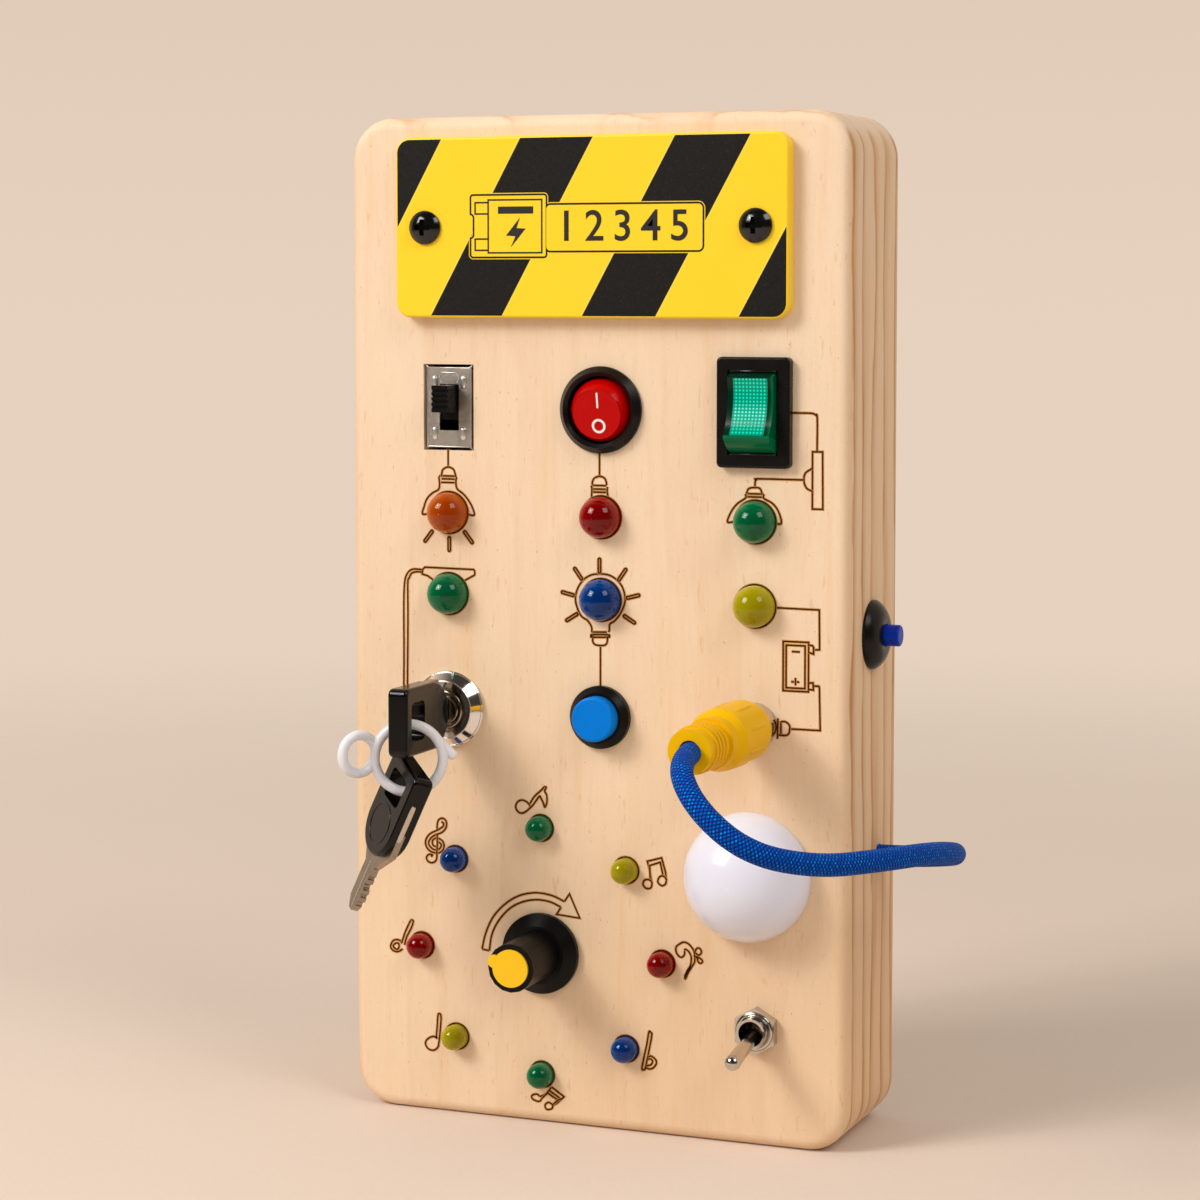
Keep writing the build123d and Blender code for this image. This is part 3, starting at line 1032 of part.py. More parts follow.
with BuildPart() as toggle_body:
    block(TOGGLE, TOGGLE_BODY_WIDTH, TOGGLE_BODY_HEIGHT, WALL_BACK - TOGGLE_BODY_DEPTH, WALL_BACK)
save(toggle_body.part, "toggle_body")

LEVER = tipped(TOGGLE_PIVOT, about_x=TOGGLE_TILT)
with BuildPart() as toggle_lever:
    with BuildSketch(lengthways(LEVER)) as lever_profile:
        with BuildLine():
            CenterArc((0, 0), TOGGLE_BALL, -90, 90)
            Polyline((TOGGLE_BALL, 0), (TOGGLE_STEM, TOGGLE_BALL), (TOGGLE_TIP, TOGGLE_REACH - TOGGLE_TIP))
            CenterArc((0, TOGGLE_REACH - TOGGLE_TIP), TOGGLE_TIP, 0, 90)
            Line((0, TOGGLE_REACH), (0, -TOGGLE_BALL))
        make_face()
    revolve(axis=Axis(LEVER.origin, LEVER.z_dir))
save(toggle_lever.part, "toggle_lever")

# ---------------------------------------------------------------- switch terminals behind the bodies
with BuildPart() as switch_terminals:
    for shift in (-LEAD_PITCH, LEAD_PITCH):
        for seat, depth, width, length in (
            (ROUND, ROUND_BODY_DEPTH, TAB_WIDTH, TAB_LENGTH),
            (LOCK, LOCK_BARREL_DEPTH, PIN_WIDTH, PIN_LENGTH),
            (SQUARE, SQUARE_BODY_DEPTH, TAB_WIDTH, TAB_LENGTH),
            (SIDE_BUTTON, SIDE_BARREL_DEPTH + NUT_THICKNESS, PIN_WIDTH, PIN_LENGTH),
            (SLIDE, SLIDE_CASE_DEPTH, PIN_WIDTH, PIN_LENGTH),
            (TOGGLE, FRONT_WALL + TOGGLE_BODY_DEPTH, PIN_WIDTH, PIN_LENGTH),
        ):
            block(moved(seat, 0, shift), width, TAB_THICKNESS, -depth - length, -depth)
save(switch_terminals.part, "switch_terminals")
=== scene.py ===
# %% [markdown]
# # A wooden busy board, dressed for its picture
# The imported model gives every rigid piece: the hollow wooden block, its switches, lamps, lock, dial and
# plug. It comes in as a fixed frame, in metres, X to the right, Y to the back and Z up. This lesson gives
# each piece its finish, adds what is only skin deep, such as the burnt line art and the printed sign, and
# replaces the soft cord. The first cell loads the frame.

# %% Load the imported model
import bpy, bmesh
import numpy as np
from math import cos, sin, pi, radians, tau
from mathutils import Matrix, Vector


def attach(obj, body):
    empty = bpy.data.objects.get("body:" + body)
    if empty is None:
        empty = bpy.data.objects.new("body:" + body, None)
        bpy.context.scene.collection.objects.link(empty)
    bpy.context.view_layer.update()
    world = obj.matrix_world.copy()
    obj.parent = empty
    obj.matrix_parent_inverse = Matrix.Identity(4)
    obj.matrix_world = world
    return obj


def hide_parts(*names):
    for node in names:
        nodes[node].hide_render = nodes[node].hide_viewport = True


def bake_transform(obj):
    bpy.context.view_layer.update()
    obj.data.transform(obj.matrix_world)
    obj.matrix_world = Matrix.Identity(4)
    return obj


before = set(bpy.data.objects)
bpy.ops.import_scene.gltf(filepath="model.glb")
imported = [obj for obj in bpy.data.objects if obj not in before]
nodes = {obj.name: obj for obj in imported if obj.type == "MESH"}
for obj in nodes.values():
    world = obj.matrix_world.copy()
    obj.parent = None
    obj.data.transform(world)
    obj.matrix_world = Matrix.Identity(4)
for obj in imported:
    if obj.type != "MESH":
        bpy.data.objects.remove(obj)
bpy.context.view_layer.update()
MM = 0.001      # metres in a millimetre
FACE = -16.0    # Y of the front face, in millimetres

# %% Objects, and curves read back as meshes
def new_object(name, data):
    """An object put in the scene."""
    made = bpy.data.objects.new(name, data)
    bpy.context.scene.collection.objects.link(made)
    return made


def meshed(curve):
    """The mesh of a curve or of text."""
    holder = new_object(curve.name, curve)
    bpy.context.view_layer.update()
    mesh = bpy.data.meshes.new_from_object(holder)
    bpy.data.objects.remove(holder)
    return mesh

# %% [markdown]
# ## Camera
# The camera stands a little to the right of the board and slightly above its middle. A short lens close by
# would make the sides lean together, so a long lens further off is used, which keeps them nearly parallel.
# Its direction is worked out from two angles, a turn about the vertical and a small dip, and not by a
# target to track, so it can't roll. A small shift of the film frames the board without tilting it further.

# %% Camera
TURN, DIP = 0.385, 0.072            # radians
STAND = (0.2270, -0.5725, 0.1675)   # metres
across = Vector((cos(TURN), sin(TURN), 0))
ahead = Vector((-sin(TURN) * cos(DIP), cos(TURN) * cos(DIP), -sin(DIP)))
upward = across.cross(ahead)
camera = new_object("camera", bpy.data.cameras.new("camera"))
camera.data.lens, camera.data.sensor_width = 92.53, 36.0
camera.data.shift_y = -0.08
camera.data.clip_start = 0.01
camera.matrix_world = Matrix((*zip(across, upward, -ahead, STAND), (0, 0, 0, 1)))
bpy.context.scene.camera = camera
bpy.context.scene.view_settings.view_transform = "Standard"
print("camera looks along", [round(v, 3) for v in ahead])

# %% [markdown]
# ## Shader arithmetic
# A finish is a tree of nodes. Picture files could give the colours, but they stretch round corners and have
# to be carried along, and nodes wired one by one hide the idea. So two small classes are used: Shade wraps
# one socket, and plain operators on it add Math nodes; Finish owns a material and has one method, node, for
# every other kind. Settings are given before socket values, because some settings change which sockets
# there are. Place is the object position in millimetres, since every piece sits at the origin.

# %% Shade: one value over a surface
class Shade:
    """One value that varies over a surface. Operators on it add Math nodes to the finish's tree."""
    def __init__(self, finish, socket):
        self.finish, self.socket = finish, socket

    def math(self, operation, *values):
        """One Math node, with a number or a Shade on each of its sockets."""
        return self.finish.node("ShaderNodeMath", {"operation": operation}, dict(enumerate(values)))

    def __add__(self, other): return self.math("ADD", self, other)
    def __radd__(self, other): return self.math("ADD", other, self)
    def __sub__(self, other): return self.math("SUBTRACT", self, other)
    def __rsub__(self, other): return self.math("SUBTRACT", other, self)
    def __mul__(self, other): return self.math("MULTIPLY", self, other)
    def __rmul__(self, other): return self.math("MULTIPLY", other, self)
    def __truediv__(self, other): return self.math("DIVIDE", self, other)
    def __rtruediv__(self, other): return self.math("DIVIDE", other, self)
    def __pow__(self, other): return self.math("POWER", self, other)
    def __rpow__(self, other): return self.math("POWER", other, self)
    def __neg__(self): return self.math("MULTIPLY", self, -1.0)
    def __abs__(self): return self.math("ABSOLUTE", self)
    def __lt__(self, other): return self.math("LESS_THAN", self, other)
    def __gt__(self, other): return self.math("GREATER_THAN", self, other)
    def sin(self): return self.math("SINE", self)
    def root(self): return self.math("SQRT", self)
    def fract(self): return self.math("FRACT", self)
    def least(self, other): return self.math("MINIMUM", self, other)
    def most(self, other): return self.math("MAXIMUM", self, other)

    def step(self, low, high):
        """Rises smoothly from 0 at low to 1 at high."""
        return self.finish.node("ShaderNodeMapRange", {"interpolation_type": "SMOOTHSTEP"},
                                {0: self, 1: low, 2: high})

# %% Finish: a material and its nodes
class Finish:
    """A material made of one Principled shader and the nodes that feed it. Shine is its specular level."""
    def __init__(self, name, shine=0.5, **constants):
        self.material = bpy.data.materials.new(name)
        self.material.use_nodes = True
        self.tree = self.material.node_tree
        self.shader = self.tree.nodes["Principled BSDF"]
        self.set(Specular_IOR_Level=shine, **constants)

    def node(self, kind, settings=None, values=None, output=0):
        """Adds one node: settings first, then the numbers or links of its sockets."""
        made = self.tree.nodes.new(kind)
        for key, value in (settings or {}).items():
            setattr(made, key, value)
        for key, value in (values or {}).items():
            self.join(made.inputs[key], value)
        return Shade(self, made.outputs[output])

    def join(self, socket, value):
        """Links a Shade to a socket, or sets the socket to a number or a colour."""
        if isinstance(value, Shade):
            self.tree.links.new(value.socket, socket)
        elif socket.type == "RGBA" and len(value) == 3:
            socket.default_value = (*value, 1.0)
        else:
            socket.default_value = value

    def set(self, **sockets):
        """Sets the shader's own sockets, their names with _ for spaces."""
        for key, value in sockets.items():
            self.join(self.shader.inputs[key.replace("_", " ")], value)
        return self

    def place(self, scale=(1, 1, 1), move=(0, 0, 0)):
        """Object position in millimetres, moved and then scaled."""
        spot = self.node("ShaderNodeTexCoord", output="Object")
        spot = self.node("ShaderNodeVectorMath", {"operation": "SCALE"}, {0: spot, 3: 1000.0})
        spot = self.node("ShaderNodeVectorMath", {"operation": "ADD"}, {0: spot, 1: move})
        return self.node("ShaderNodeVectorMath", {"operation": "MULTIPLY"}, {0: spot, 1: scale})

    def parts(self, vector):
        """The three parts of a vector, each a Shade."""
        split = self.node("ShaderNodeSeparateXYZ", None, {0: vector}).socket.node
        return [Shade(self, split.outputs[i]) for i in range(3)]

    def noise(self, vector, scale=1.0, detail=2.0, rough=0.5, warp=0.0):
        """Soft random blotches, from 0 to 1 about a half, scale of them in each unit of the vector."""
        return self.node("ShaderNodeTexNoise", {}, {"Vector": vector, "Scale": scale, "Detail": detail,
                                                    "Roughness": rough, "Distortion": warp})

    def mix(self, share, first, second):
        """A colour that goes from first to second as share goes from 0 to 1."""
        return self.node("ShaderNodeMix", {"data_type": "RGBA"}, {0: share, 6: first, 7: second}, 2)

    def bump(self, height, strength, distance):
        """Tilts the normal as a relief would, where a height of 1 stands out by the distance in metres."""
        self.set(Normal=self.node("ShaderNodeBump", {}, {"Strength": strength, "Distance": distance,
                                                         "Height": height}))
        return self

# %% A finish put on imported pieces
def dress(finish, *names):
    """Puts one finish on CAD nodes, whose meshes stay as they are."""
    for name in names:
        nodes[name].data.materials.clear()
        nodes[name].data.materials.append(finish.material)
    print(finish.material.name, "on", ", ".join(names))

# %% [markdown]
# ## Surfaces as arrays
# A new piece could be put together from Blender's own cubes and cylinders, but their edges are sharp and
# their shapes are few. Here a piece is a grid: a function of two parameters worked out for all points at
# once with numpy, then handed to Blender. Seams are closed by wrapping the grid's index, poles by merging
# their points.

# %% Faces of a grid
def grid_faces(rows, columns, wrap_rows=False, wrap_columns=False):
    """Quads of a rows by columns grid of points; a wrap joins its last line to its first."""
    r = np.arange(rows if wrap_rows else rows - 1)[:, None]
    c = np.arange(columns if wrap_columns else columns - 1)[None, :]
    r2, c2 = (r + 1) % rows, (c + 1) % columns
    quads = np.stack(np.broadcast_arrays(r * columns + c, r * columns + c2, r2 * columns + c2,
                                         r2 * columns + c), -1)
    return quads.reshape(-1, 4)

# %% A piece made from points and faces
def piece(name, points, faces, finish, body="board", uv=None, tidy=False):
    """Makes an object of points in millimetres. tidy merges doubles and turns the faces outwards."""
    mesh = bpy.data.meshes.new(name)
    mesh.from_pydata((np.asarray(points).reshape(-1, 3) * MM).tolist(), [], np.asarray(faces).tolist())
    if uv is not None:
        layer = mesh.uv_layers.new(name="UVMap")
        corner = np.empty(len(mesh.loops), dtype=np.int32)
        mesh.loops.foreach_get("vertex_index", corner)
        layer.data.foreach_set("uv", np.asarray(uv).reshape(-1, 2)[corner].ravel())
    if tidy:
        work = bmesh.new()
        work.from_mesh(mesh)
        bmesh.ops.remove_doubles(work, verts=work.verts, dist=1e-6)
        bmesh.ops.recalc_face_normals(work, faces=work.faces)
        work.to_mesh(mesh)
        work.free()
    mesh.polygons.foreach_set("use_smooth", np.ones(len(mesh.polygons), bool))
    mesh.materials.append(finish.material)
    made = new_object(name, mesh)
    if body:
        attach(made, body)
    print(name, len(mesh.polygons), "faces")
    return made

# %% [markdown]
# ## Tether cord
# A soft braided cord leaves the right side, hangs round the front corner and goes into the back of the
# plug. A curve with a bevel would be quicker to make, but it says nothing about how the section turns or
# how the braid is laid on it. So the route is a NURBS curve through a few control points, read back as a
# smooth line. A round section is then carried along that line, without twist, and its UV counts the turns
# of the braid.

# %% Cord route
CORD_RADIUS = 2.1
CORD_POINTS = [
    (0.04385, 0.004, 0.055), (0.0565, 0.004, 0.055), (0.0685, -0.0015, 0.057), (0.0735, -0.014, 0.060),
    (0.0725, -0.0285, 0.0625), (0.0675, -0.043, 0.0633), (0.0594, -0.0565, 0.0638), (0.0496, -0.067, 0.0675),
    (0.0399, -0.0678, 0.0756), (0.0336, -0.059, 0.082358), (0.0336, -0.04615, 0.082358)]
route = bpy.data.curves.new("cord_route", "CURVE")
route.dimensions, route.resolution_u = "3D", 16
spline = route.splines.new("NURBS")
spline.points.add(len(CORD_POINTS) - 1)
spline.points.foreach_set("co", [v for point in CORD_POINTS for v in (*point, 1.0)])
spline.order_u, spline.use_endpoint_u = 3, True
line_mesh = meshed(route)
line = np.empty(3 * len(line_mesh.vertices))
line_mesh.vertices.foreach_get("co", line)
line = line.reshape(-1, 3)

# %% Cord finish: a blue braid, with painted shade in its hollows and painted glints on its strands
cord_blue = Finish("blue braided cord", Roughness=0.5, shine=0.05)
u, v, _ = cord_blue.parts(cord_blue.node("ShaderNodeTexCoord", output="UV"))
height = abs(((u + v) * pi).sin()) * abs(((u - v) * pi).sin())
glint_spots = cord_blue.noise(cord_blue.place(), 1.1, 2.0, 0.6)
# painted shade: the braid is made deep blue where it is low, down between the strands
blue = cord_blue.mix(height.step(0.0, 0.7), (0.0, 0.014, 0.14), (0.0, 0.085, 0.50))
# painted highlights: small light blue glints on the tops of the strands
blue = cord_blue.mix(glint_spots.step(0.45, 0.66) * height.step(0.60, 0.90), blue, (0.0, 0.40, 1.0))
cord_blue.set(Base_Color=blue).bump(height, 0.7, 0.0003)
print("cord finish:", cord_blue.material.name)

# %% Section carried along the cord's line
BRAID_TURNS, BRAID_LAY = 11.0, 1.35    # strands round the cord, and per millimetre along it


def tube(path, radius, sides=24, turns=1.0, lay=1.0):
    """A round section carried along a path: each point is path + radius (cos a side + sin a rise), where
    side and rise are carried forward by taking out the part along the path."""
    ahead = np.gradient(path, axis=0)
    ahead /= np.linalg.norm(ahead, axis=1, keepdims=True)
    side = np.empty_like(path)
    guess = np.cross(ahead[0], (0, 0, 1.0))
    for i, way in enumerate(ahead):
        guess = guess - way * guess.dot(way)
        guess = guess / np.linalg.norm(guess)
        side[i] = guess
    rise = np.cross(ahead, side)
    angle = np.linspace(0, tau, sides + 1)[None, :, None]
    radius = np.broadcast_to(np.asarray(radius, float).reshape(-1, 1, 1), (len(path), 1, 1))
    points = path[:, None] + radius * (np.cos(angle) * side[:, None] + np.sin(angle) * rise[:, None])
    run = np.r_[0, np.cumsum(np.linalg.norm(np.diff(path, axis=0), axis=1))]
    uv = np.stack(np.broadcast_arrays(run[:, None] * lay, angle[..., 0] / tau * turns), -1)
    return points, uv


cord_points, cord_uv = tube(line / MM, CORD_RADIUS, 28, BRAID_TURNS, BRAID_LAY)
cord = piece("braided_cord", cord_points, grid_faces(*cord_points.shape[:2]), cord_blue, None, cord_uv)
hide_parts("tether_cord")
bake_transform(cord)

# %% [markdown]
# ## Stage and light
# The board stands on a plain warm floor that fades into a backdrop of nearly the same colour, a little
# darker towards the top. An image of a room could light it, but with plain lamps it is clear where each
# highlight comes from. One large soft lamp with a small brighter core stands high on the left in front, a
# weaker one on the right, and the surroundings fill the shadows. Polished pieces mirror the room: the
# backdrop behind and the floor below are pale, and the studio in front is dark, so chrome gets its contrast
# and black plastic stays black.

# %% Floor
FLOOR_RADIUS, FLOOR_RINGS, FLOOR_SIDES = 3000, 40, 96
CLEAR_FROM, CLEAR_TO = 180.0, 820.0    # the floor fades away between these distances, in millimetres
BELOW = 0.02                           # the floor lies this far under the board
paper = Finish("backdrop paper", Roughness=0.9, shine=0.1)
grain = paper.noise(paper.place(), 0.02, 3.0)
speckle = paper.noise(paper.place(), 0.8, 3.0, 0.7)
sheet = paper.mix(grain, (0.71, 0.585, 0.485), (0.73, 0.60, 0.50))
paper.set(Base_Color=paper.mix(speckle.step(0.35, 0.75) * 0.10, sheet, (0.55, 0.44, 0.36)))
x, y, _ = paper.parts(paper.place())
reach = (x * x + y * y).root().step(CLEAR_FROM, CLEAR_TO)
clear = paper.node("ShaderNodeBsdfTransparent")
fade = paper.node("ShaderNodeMixShader", {}, {0: reach, 1: Shade(paper, paper.shader.outputs[0]), 2: clear})
paper.tree.links.new(fade.socket, paper.tree.nodes["Material Output"].inputs[0])
steps = np.linspace(0, FLOOR_RADIUS, FLOOR_RINGS)[:, None]
way = np.linspace(0, tau, FLOOR_SIDES, endpoint=False)[None, :]
floor_points = np.stack(np.broadcast_arrays(steps * np.cos(way), steps * np.sin(way), -BELOW), -1)
floor_faces = grid_faces(FLOOR_RINGS, FLOOR_SIDES, wrap_columns=True)
floor = piece("floor", floor_points, floor_faces, paper, None, tidy=True)

# %% Surroundings: what the camera sees, what polish mirrors, and what fills the shadows
world = bpy.data.worlds.new("studio")
bpy.context.scene.world = world
world.use_nodes = True
tree = world.node_tree
tree.nodes.clear()


def world_node(kind, values=None, output=0, **settings):
    """Adds one node to the world: settings, then the numbers or links of its sockets."""
    made = tree.nodes.new(kind)
    for key, value in settings.items():
        setattr(made, key, value)
    for key, value in (values or {}).items():
        if hasattr(value, "is_output"):
            tree.links.new(value, made.inputs[key])
        else:
            made.inputs[key].default_value = value
    return made.outputs[output]


def rise(value, low, high):
    """Goes smoothly from 0 at low to 1 at high."""
    return world_node("ShaderNodeMapRange", {0: value, 1: low, 2: high}, interpolation_type="SMOOTHSTEP")


def larger(first, second):
    """The larger of two values."""
    return world_node("ShaderNodeMath", {0: first, 1: second}, operation="MAXIMUM")


def blended(share, first, second):
    """A colour that goes from first to second as share goes from 0 to 1."""
    return world_node("ShaderNodeMix", {0: share, 6: first, 7: second}, 2, data_type="RGBA")


rays = world_node("ShaderNodeLightPath").node.outputs
aim = world_node("ShaderNodeSeparateXYZ", {0: world_node("ShaderNodeTexCoord")}).node.outputs
pale = larger(rise(aim["Y"], -0.25, 0.15), rise(aim["Z"], -0.05, -0.25))
backdrop = blended(rise(aim["Z"], -0.03, 0.17), (0.79, 0.64, 0.52, 1), (0.73, 0.58, 0.46, 1))
shown = blended(larger(pale, rays["Is Camera Ray"]), (0.045, 0.038, 0.032, 1), backdrop)
seen = world_node("ShaderNodeBackground", {"Color": shown, "Strength": 1.0})
fill = world_node("ShaderNodeBackground", {"Color": (1.0, 0.95, 0.90, 1), "Strength": 0.54})
direct = larger(rays["Is Camera Ray"], larger(rays["Is Glossy Ray"], rays["Is Transmission Ray"]))
choose = world_node("ShaderNodeMixShader", {0: direct, 1: fill, 2: seen})
tree.links.new(choose, tree.nodes.new("ShaderNodeOutputWorld").inputs[0])
print("surroundings:", len(tree.nodes), "nodes")

# %% Soft lamps
MIDDLE_OF_BOARD = Vector((0, 0, 0.1))
KEY_WAY, KEY_COLOUR = (-0.53, -0.61, 0.58), (1.0, 0.98, 0.95)


def soft_lamp(name, toward, distance, size, power, colour):
    """A square area lamp, at a distance from the board's middle, that looks back at it."""
    lamp = bpy.data.lights.new(name, "AREA")
    lamp.size, lamp.energy, lamp.color = size, power, colour
    holder = new_object(name, lamp)
    holder.location = MIDDLE_OF_BOARD + Vector(toward).normalized() * distance
    holder.rotation_euler = (-Vector(toward)).to_track_quat("-Z", "Y").to_euler()
    print(name, power, "W")


soft_lamp("key_lamp", KEY_WAY, 1.3, 0.58, 11.0, KEY_COLOUR)
soft_lamp("key_core", KEY_WAY, 1.25, 0.10, 1.5, KEY_COLOUR)
soft_lamp("right_lamp", (0.64, -0.35, 0.68), 1.4, 0.60, 5.2, (1.0, 0.98, 0.96))

# %% [markdown]
# ## Wooden block
# The block is pale planed wood with clear growth rings. Its grain could be a flat picture on each side, but
# then the lines wouldn't meet at the corners. Here the growth rings are circles about a pith far behind the
# board, worked out in space, so they show as brown lines on the sides and as faint broad bands on the face,
# as they do when a board is sawn from one side of a log. A ring darkens slowly and ends in a thin line.
# Streaks, short fibres, pores and a few darker flecks run up the height. Each layer tints the colour under
# it by its share.

# %% Wood finish
PITH, RING_PITCH = (30.0, 150.0), 6.9    # millimetres, seen from above
wood = Finish("pale wood", Roughness=0.62, shine=0.3)
x, y, z = wood.parts(wood.place())
wander = wood.noise(wood.place((0.05, 0.11, 0.011)), 1.0, 4.0)
radius = ((x - PITH[0]) ** 2.0 + (y - PITH[1]) ** 2.0).root() + wander * 12.0
ring = (radius / RING_PITCH).fract()
edge = abs(x).step(50.3, 52.3).most(z.step(197.5, 199.8) * 0.35).most(y.step(13.0, 15.5) * 0.5)
cluster = wood.noise(wood.place((0.16, 0.16, 0.006)), 1.0, 1.0).step(0.35, 0.60)
fading = wood.noise(wood.place((0.25, 0.25, 0.035)), 1.0, 2.0).step(0.24, 0.54)
broad = ring.step(0.30, 0.88) * (1.0 - ring.step(0.88, 1.0))
late = ring.step(0.58, 0.84) * (1.0 - ring.step(0.93, 1.0)) * cluster
thin = ring.step(0.80, 0.90) * (1.0 - ring.step(0.92, 0.99)) * fading
streak = wood.noise(wood.place((0.32, 0.32, 0.018)), 1.0, 3.0, 0.55)
fibre = wood.noise(wood.place((2.4, 2.4, 0.16)), 1.0, 3.0, 0.6)
pore = wood.noise(wood.place((1.0, 1.0, 0.7)), 2.4, 3.0, 0.7)
dash = wood.noise(wood.place((1.1, 1.1, 0.22)), 1.0, 2.0).step(0.66, 0.74)
cloud = wood.noise(wood.place((0.03, 0.03, 0.012)), 1.0, 3.0)
fleck = wood.noise(wood.place((1.7, 1.7, 0.8)), 1.0, 1.0).step(0.745, 0.80)
tone = wood.mix(cloud.step(0.3, 0.75), (0.825, 0.618, 0.420), (0.775, 0.553, 0.352))
layers = [
    # painted light: the face is made paler towards the top
    (z.step(40.0, 200.0) * 0.40, (0.83, 0.67, 0.52)),       # paler towards the top
    (edge * 0.42, (0.69, 0.42, 0.21)),                      # deeper on the cut sides
    (broad * (0.06 + edge * 0.40), (0.58, 0.33, 0.15)),     # slow darkening of each ring
    (late * edge * 0.42, (0.58, 0.30, 0.11)),               # darker last growth, here and there
    (thin * (0.05 + edge * 0.80), (0.46, 0.21, 0.065)),     # the fine line that ends a ring
    (streak.step(0.48, 0.78) * 0.30, (0.74, 0.45, 0.22)),   # long warm streaks
    (fibre.step(0.45, 0.85) * 0.18, (0.60, 0.39, 0.21)),    # fibres
    (pore.step(0.48, 0.75) * 0.14, (0.62, 0.42, 0.24)),     # pores
    (dash * 0.30, (0.66, 0.34, 0.13)),                      # short brown dashes
    (fleck * 0.5, (0.46, 0.24, 0.09)),                      # flecks
]
for share, colour in layers:
    tone = wood.mix(share, tone, colour)
wood.set(Base_Color=tone, Roughness=0.58 + fibre * 0.12).bump(fibre * 0.5 + pore - broad * 0.3, 0.16, 0.0002)
dress(wood, "wood_body")

# %% [markdown]
# ## Where the controls are
# Three columns and a few rows place nearly everything on the face, as a drilling plan does on the real
# board. They are written once, and the burnt circles and the fine parts below start from them.

# %% Columns and rows of the controls on the face, in millimetres
ACROSS, UP = np.array((1.0, 0, 0)), np.array((0, 0, 1.0))
LEFT, MIDDLE, RIGHT = -30.975, 1.785, 33.6
SWITCHES, LOCK_UP = 142.576, 82.358
LAMP_ROWS = (121.631, 105.418)
TOGGLE = (34.388, FACE, 23.1)
print("switch row at", SWITCHES, "lamp rows at", LAMP_ROWS, "lock row at", LOCK_UP)

# %% [markdown]
# ## Burnt line art
# A laser draws the lamps, wires, battery and notes by scorching the wood. The lines could be part of the
# wood's own finish, but each would need its own distance there. A flat ribbon just above the face keeps a
# line sharp and costs little. Its UV runs from -1 to 1 across: dark in the middle, toast brown beside it,
# and clear at the edge. Smooth lines pass through their points on a Catmull-Rom curve; straight ones keep
# their corners. A dark ring round each lamp is painted shade for the gap and shadow at its hole's edge,
# with some scorch of the cut; the small lamps of the ring were drilled a little off an even ring.

# %% Scorch finish
scorch = Finish("scorched line", Roughness=0.8, shine=0.1)
_, v, _ = scorch.parts(scorch.node("ShaderNodeTexCoord", output="UV"))
grit = scorch.noise(scorch.place(), 3.0, 2.0)
side = abs(v) + (grit - 0.5) * 0.22
char = 1.0 - side.step(0.32, 0.62)
scorch.set(Base_Color=scorch.mix(char, (0.68, 0.30, 0.07), (0.034, 0.010, 0.002)),
           Alpha=1.0 - side.step(0.50, 1.0))
print("scorch finish:", scorch.material.name)

# %% Ribbon along a line
def smooth_line(points, fine=8):
    """Catmull-Rom: each span is a cubic through its two points, with slopes from their neighbours."""
    p = np.vstack([2 * points[0] - points[1], points, 2 * points[-1] - points[-2]])
    if np.allclose(points[0], points[-1]):
        p[0], p[-1] = points[-2], points[1]
    t = np.linspace(0, 1, fine, endpoint=False)[None, :, None]
    a, b, c, d = (p[i:len(p) - 3 + i, None] for i in range(4))
    curve = 0.5 * (2 * b + (c - a) * t + (2 * a - 5 * b + 4 * c - d) * t**2 + (3 * b - a - 3 * c + d) * t**3)
    return np.vstack([curve.reshape(-1, 2), points[-1:]])


def ribbon(points, half_width):
    """Left and right edges at a half width from the line, square to it, with mitred corners."""
    closed = np.allclose(points[0], points[-1])
    runs = np.diff(points, axis=0)
    runs = runs / np.maximum(np.linalg.norm(runs, axis=1, keepdims=True), 1e-9)
    before = np.vstack([runs[-1:] if closed else runs[:1], runs])
    after = np.vstack([runs, runs[:1] if closed else runs[-1:]])
    middle = before + after
    middle = middle / np.maximum(np.linalg.norm(middle, axis=1, keepdims=True), 1e-9)
    stretch = 1 / np.clip((middle * before).sum(1, keepdims=True), 0.55, 1)
    square = np.stack([-middle[:, 1], middle[:, 0]], -1) * stretch * half_width
    share = np.linspace(-1, 1, 5)[None, :, None]
    grid = points[:, None] + share * square[:, None]
    run = np.r_[0, np.cumsum(np.linalg.norm(np.diff(points, axis=0), axis=1))]
    uv = np.stack(np.broadcast_arrays(run[:, None], share[..., 0]), -1)
    return grid, uv


def capsule(a, b, half):
    """Outline of a short bar with round ends, from a to b."""
    a, b = np.array(a), np.array(b)
    ahead = (b - a) / np.linalg.norm(b - a)
    turn = np.linspace(-pi / 2, pi / 2, 7)[:, None]
    end = np.array([-ahead[1], ahead[0]])
    far = b + half * (np.cos(turn) * ahead + np.sin(turn) * end)
    near = a - half * (np.cos(turn) * ahead + np.sin(turn) * end)
    return np.vstack([far, near, far[:1]])


def read(text):
    """Points written as across,up pairs."""
    return np.array([[float(n) for n in pair.split(",")] for pair in text.split()])

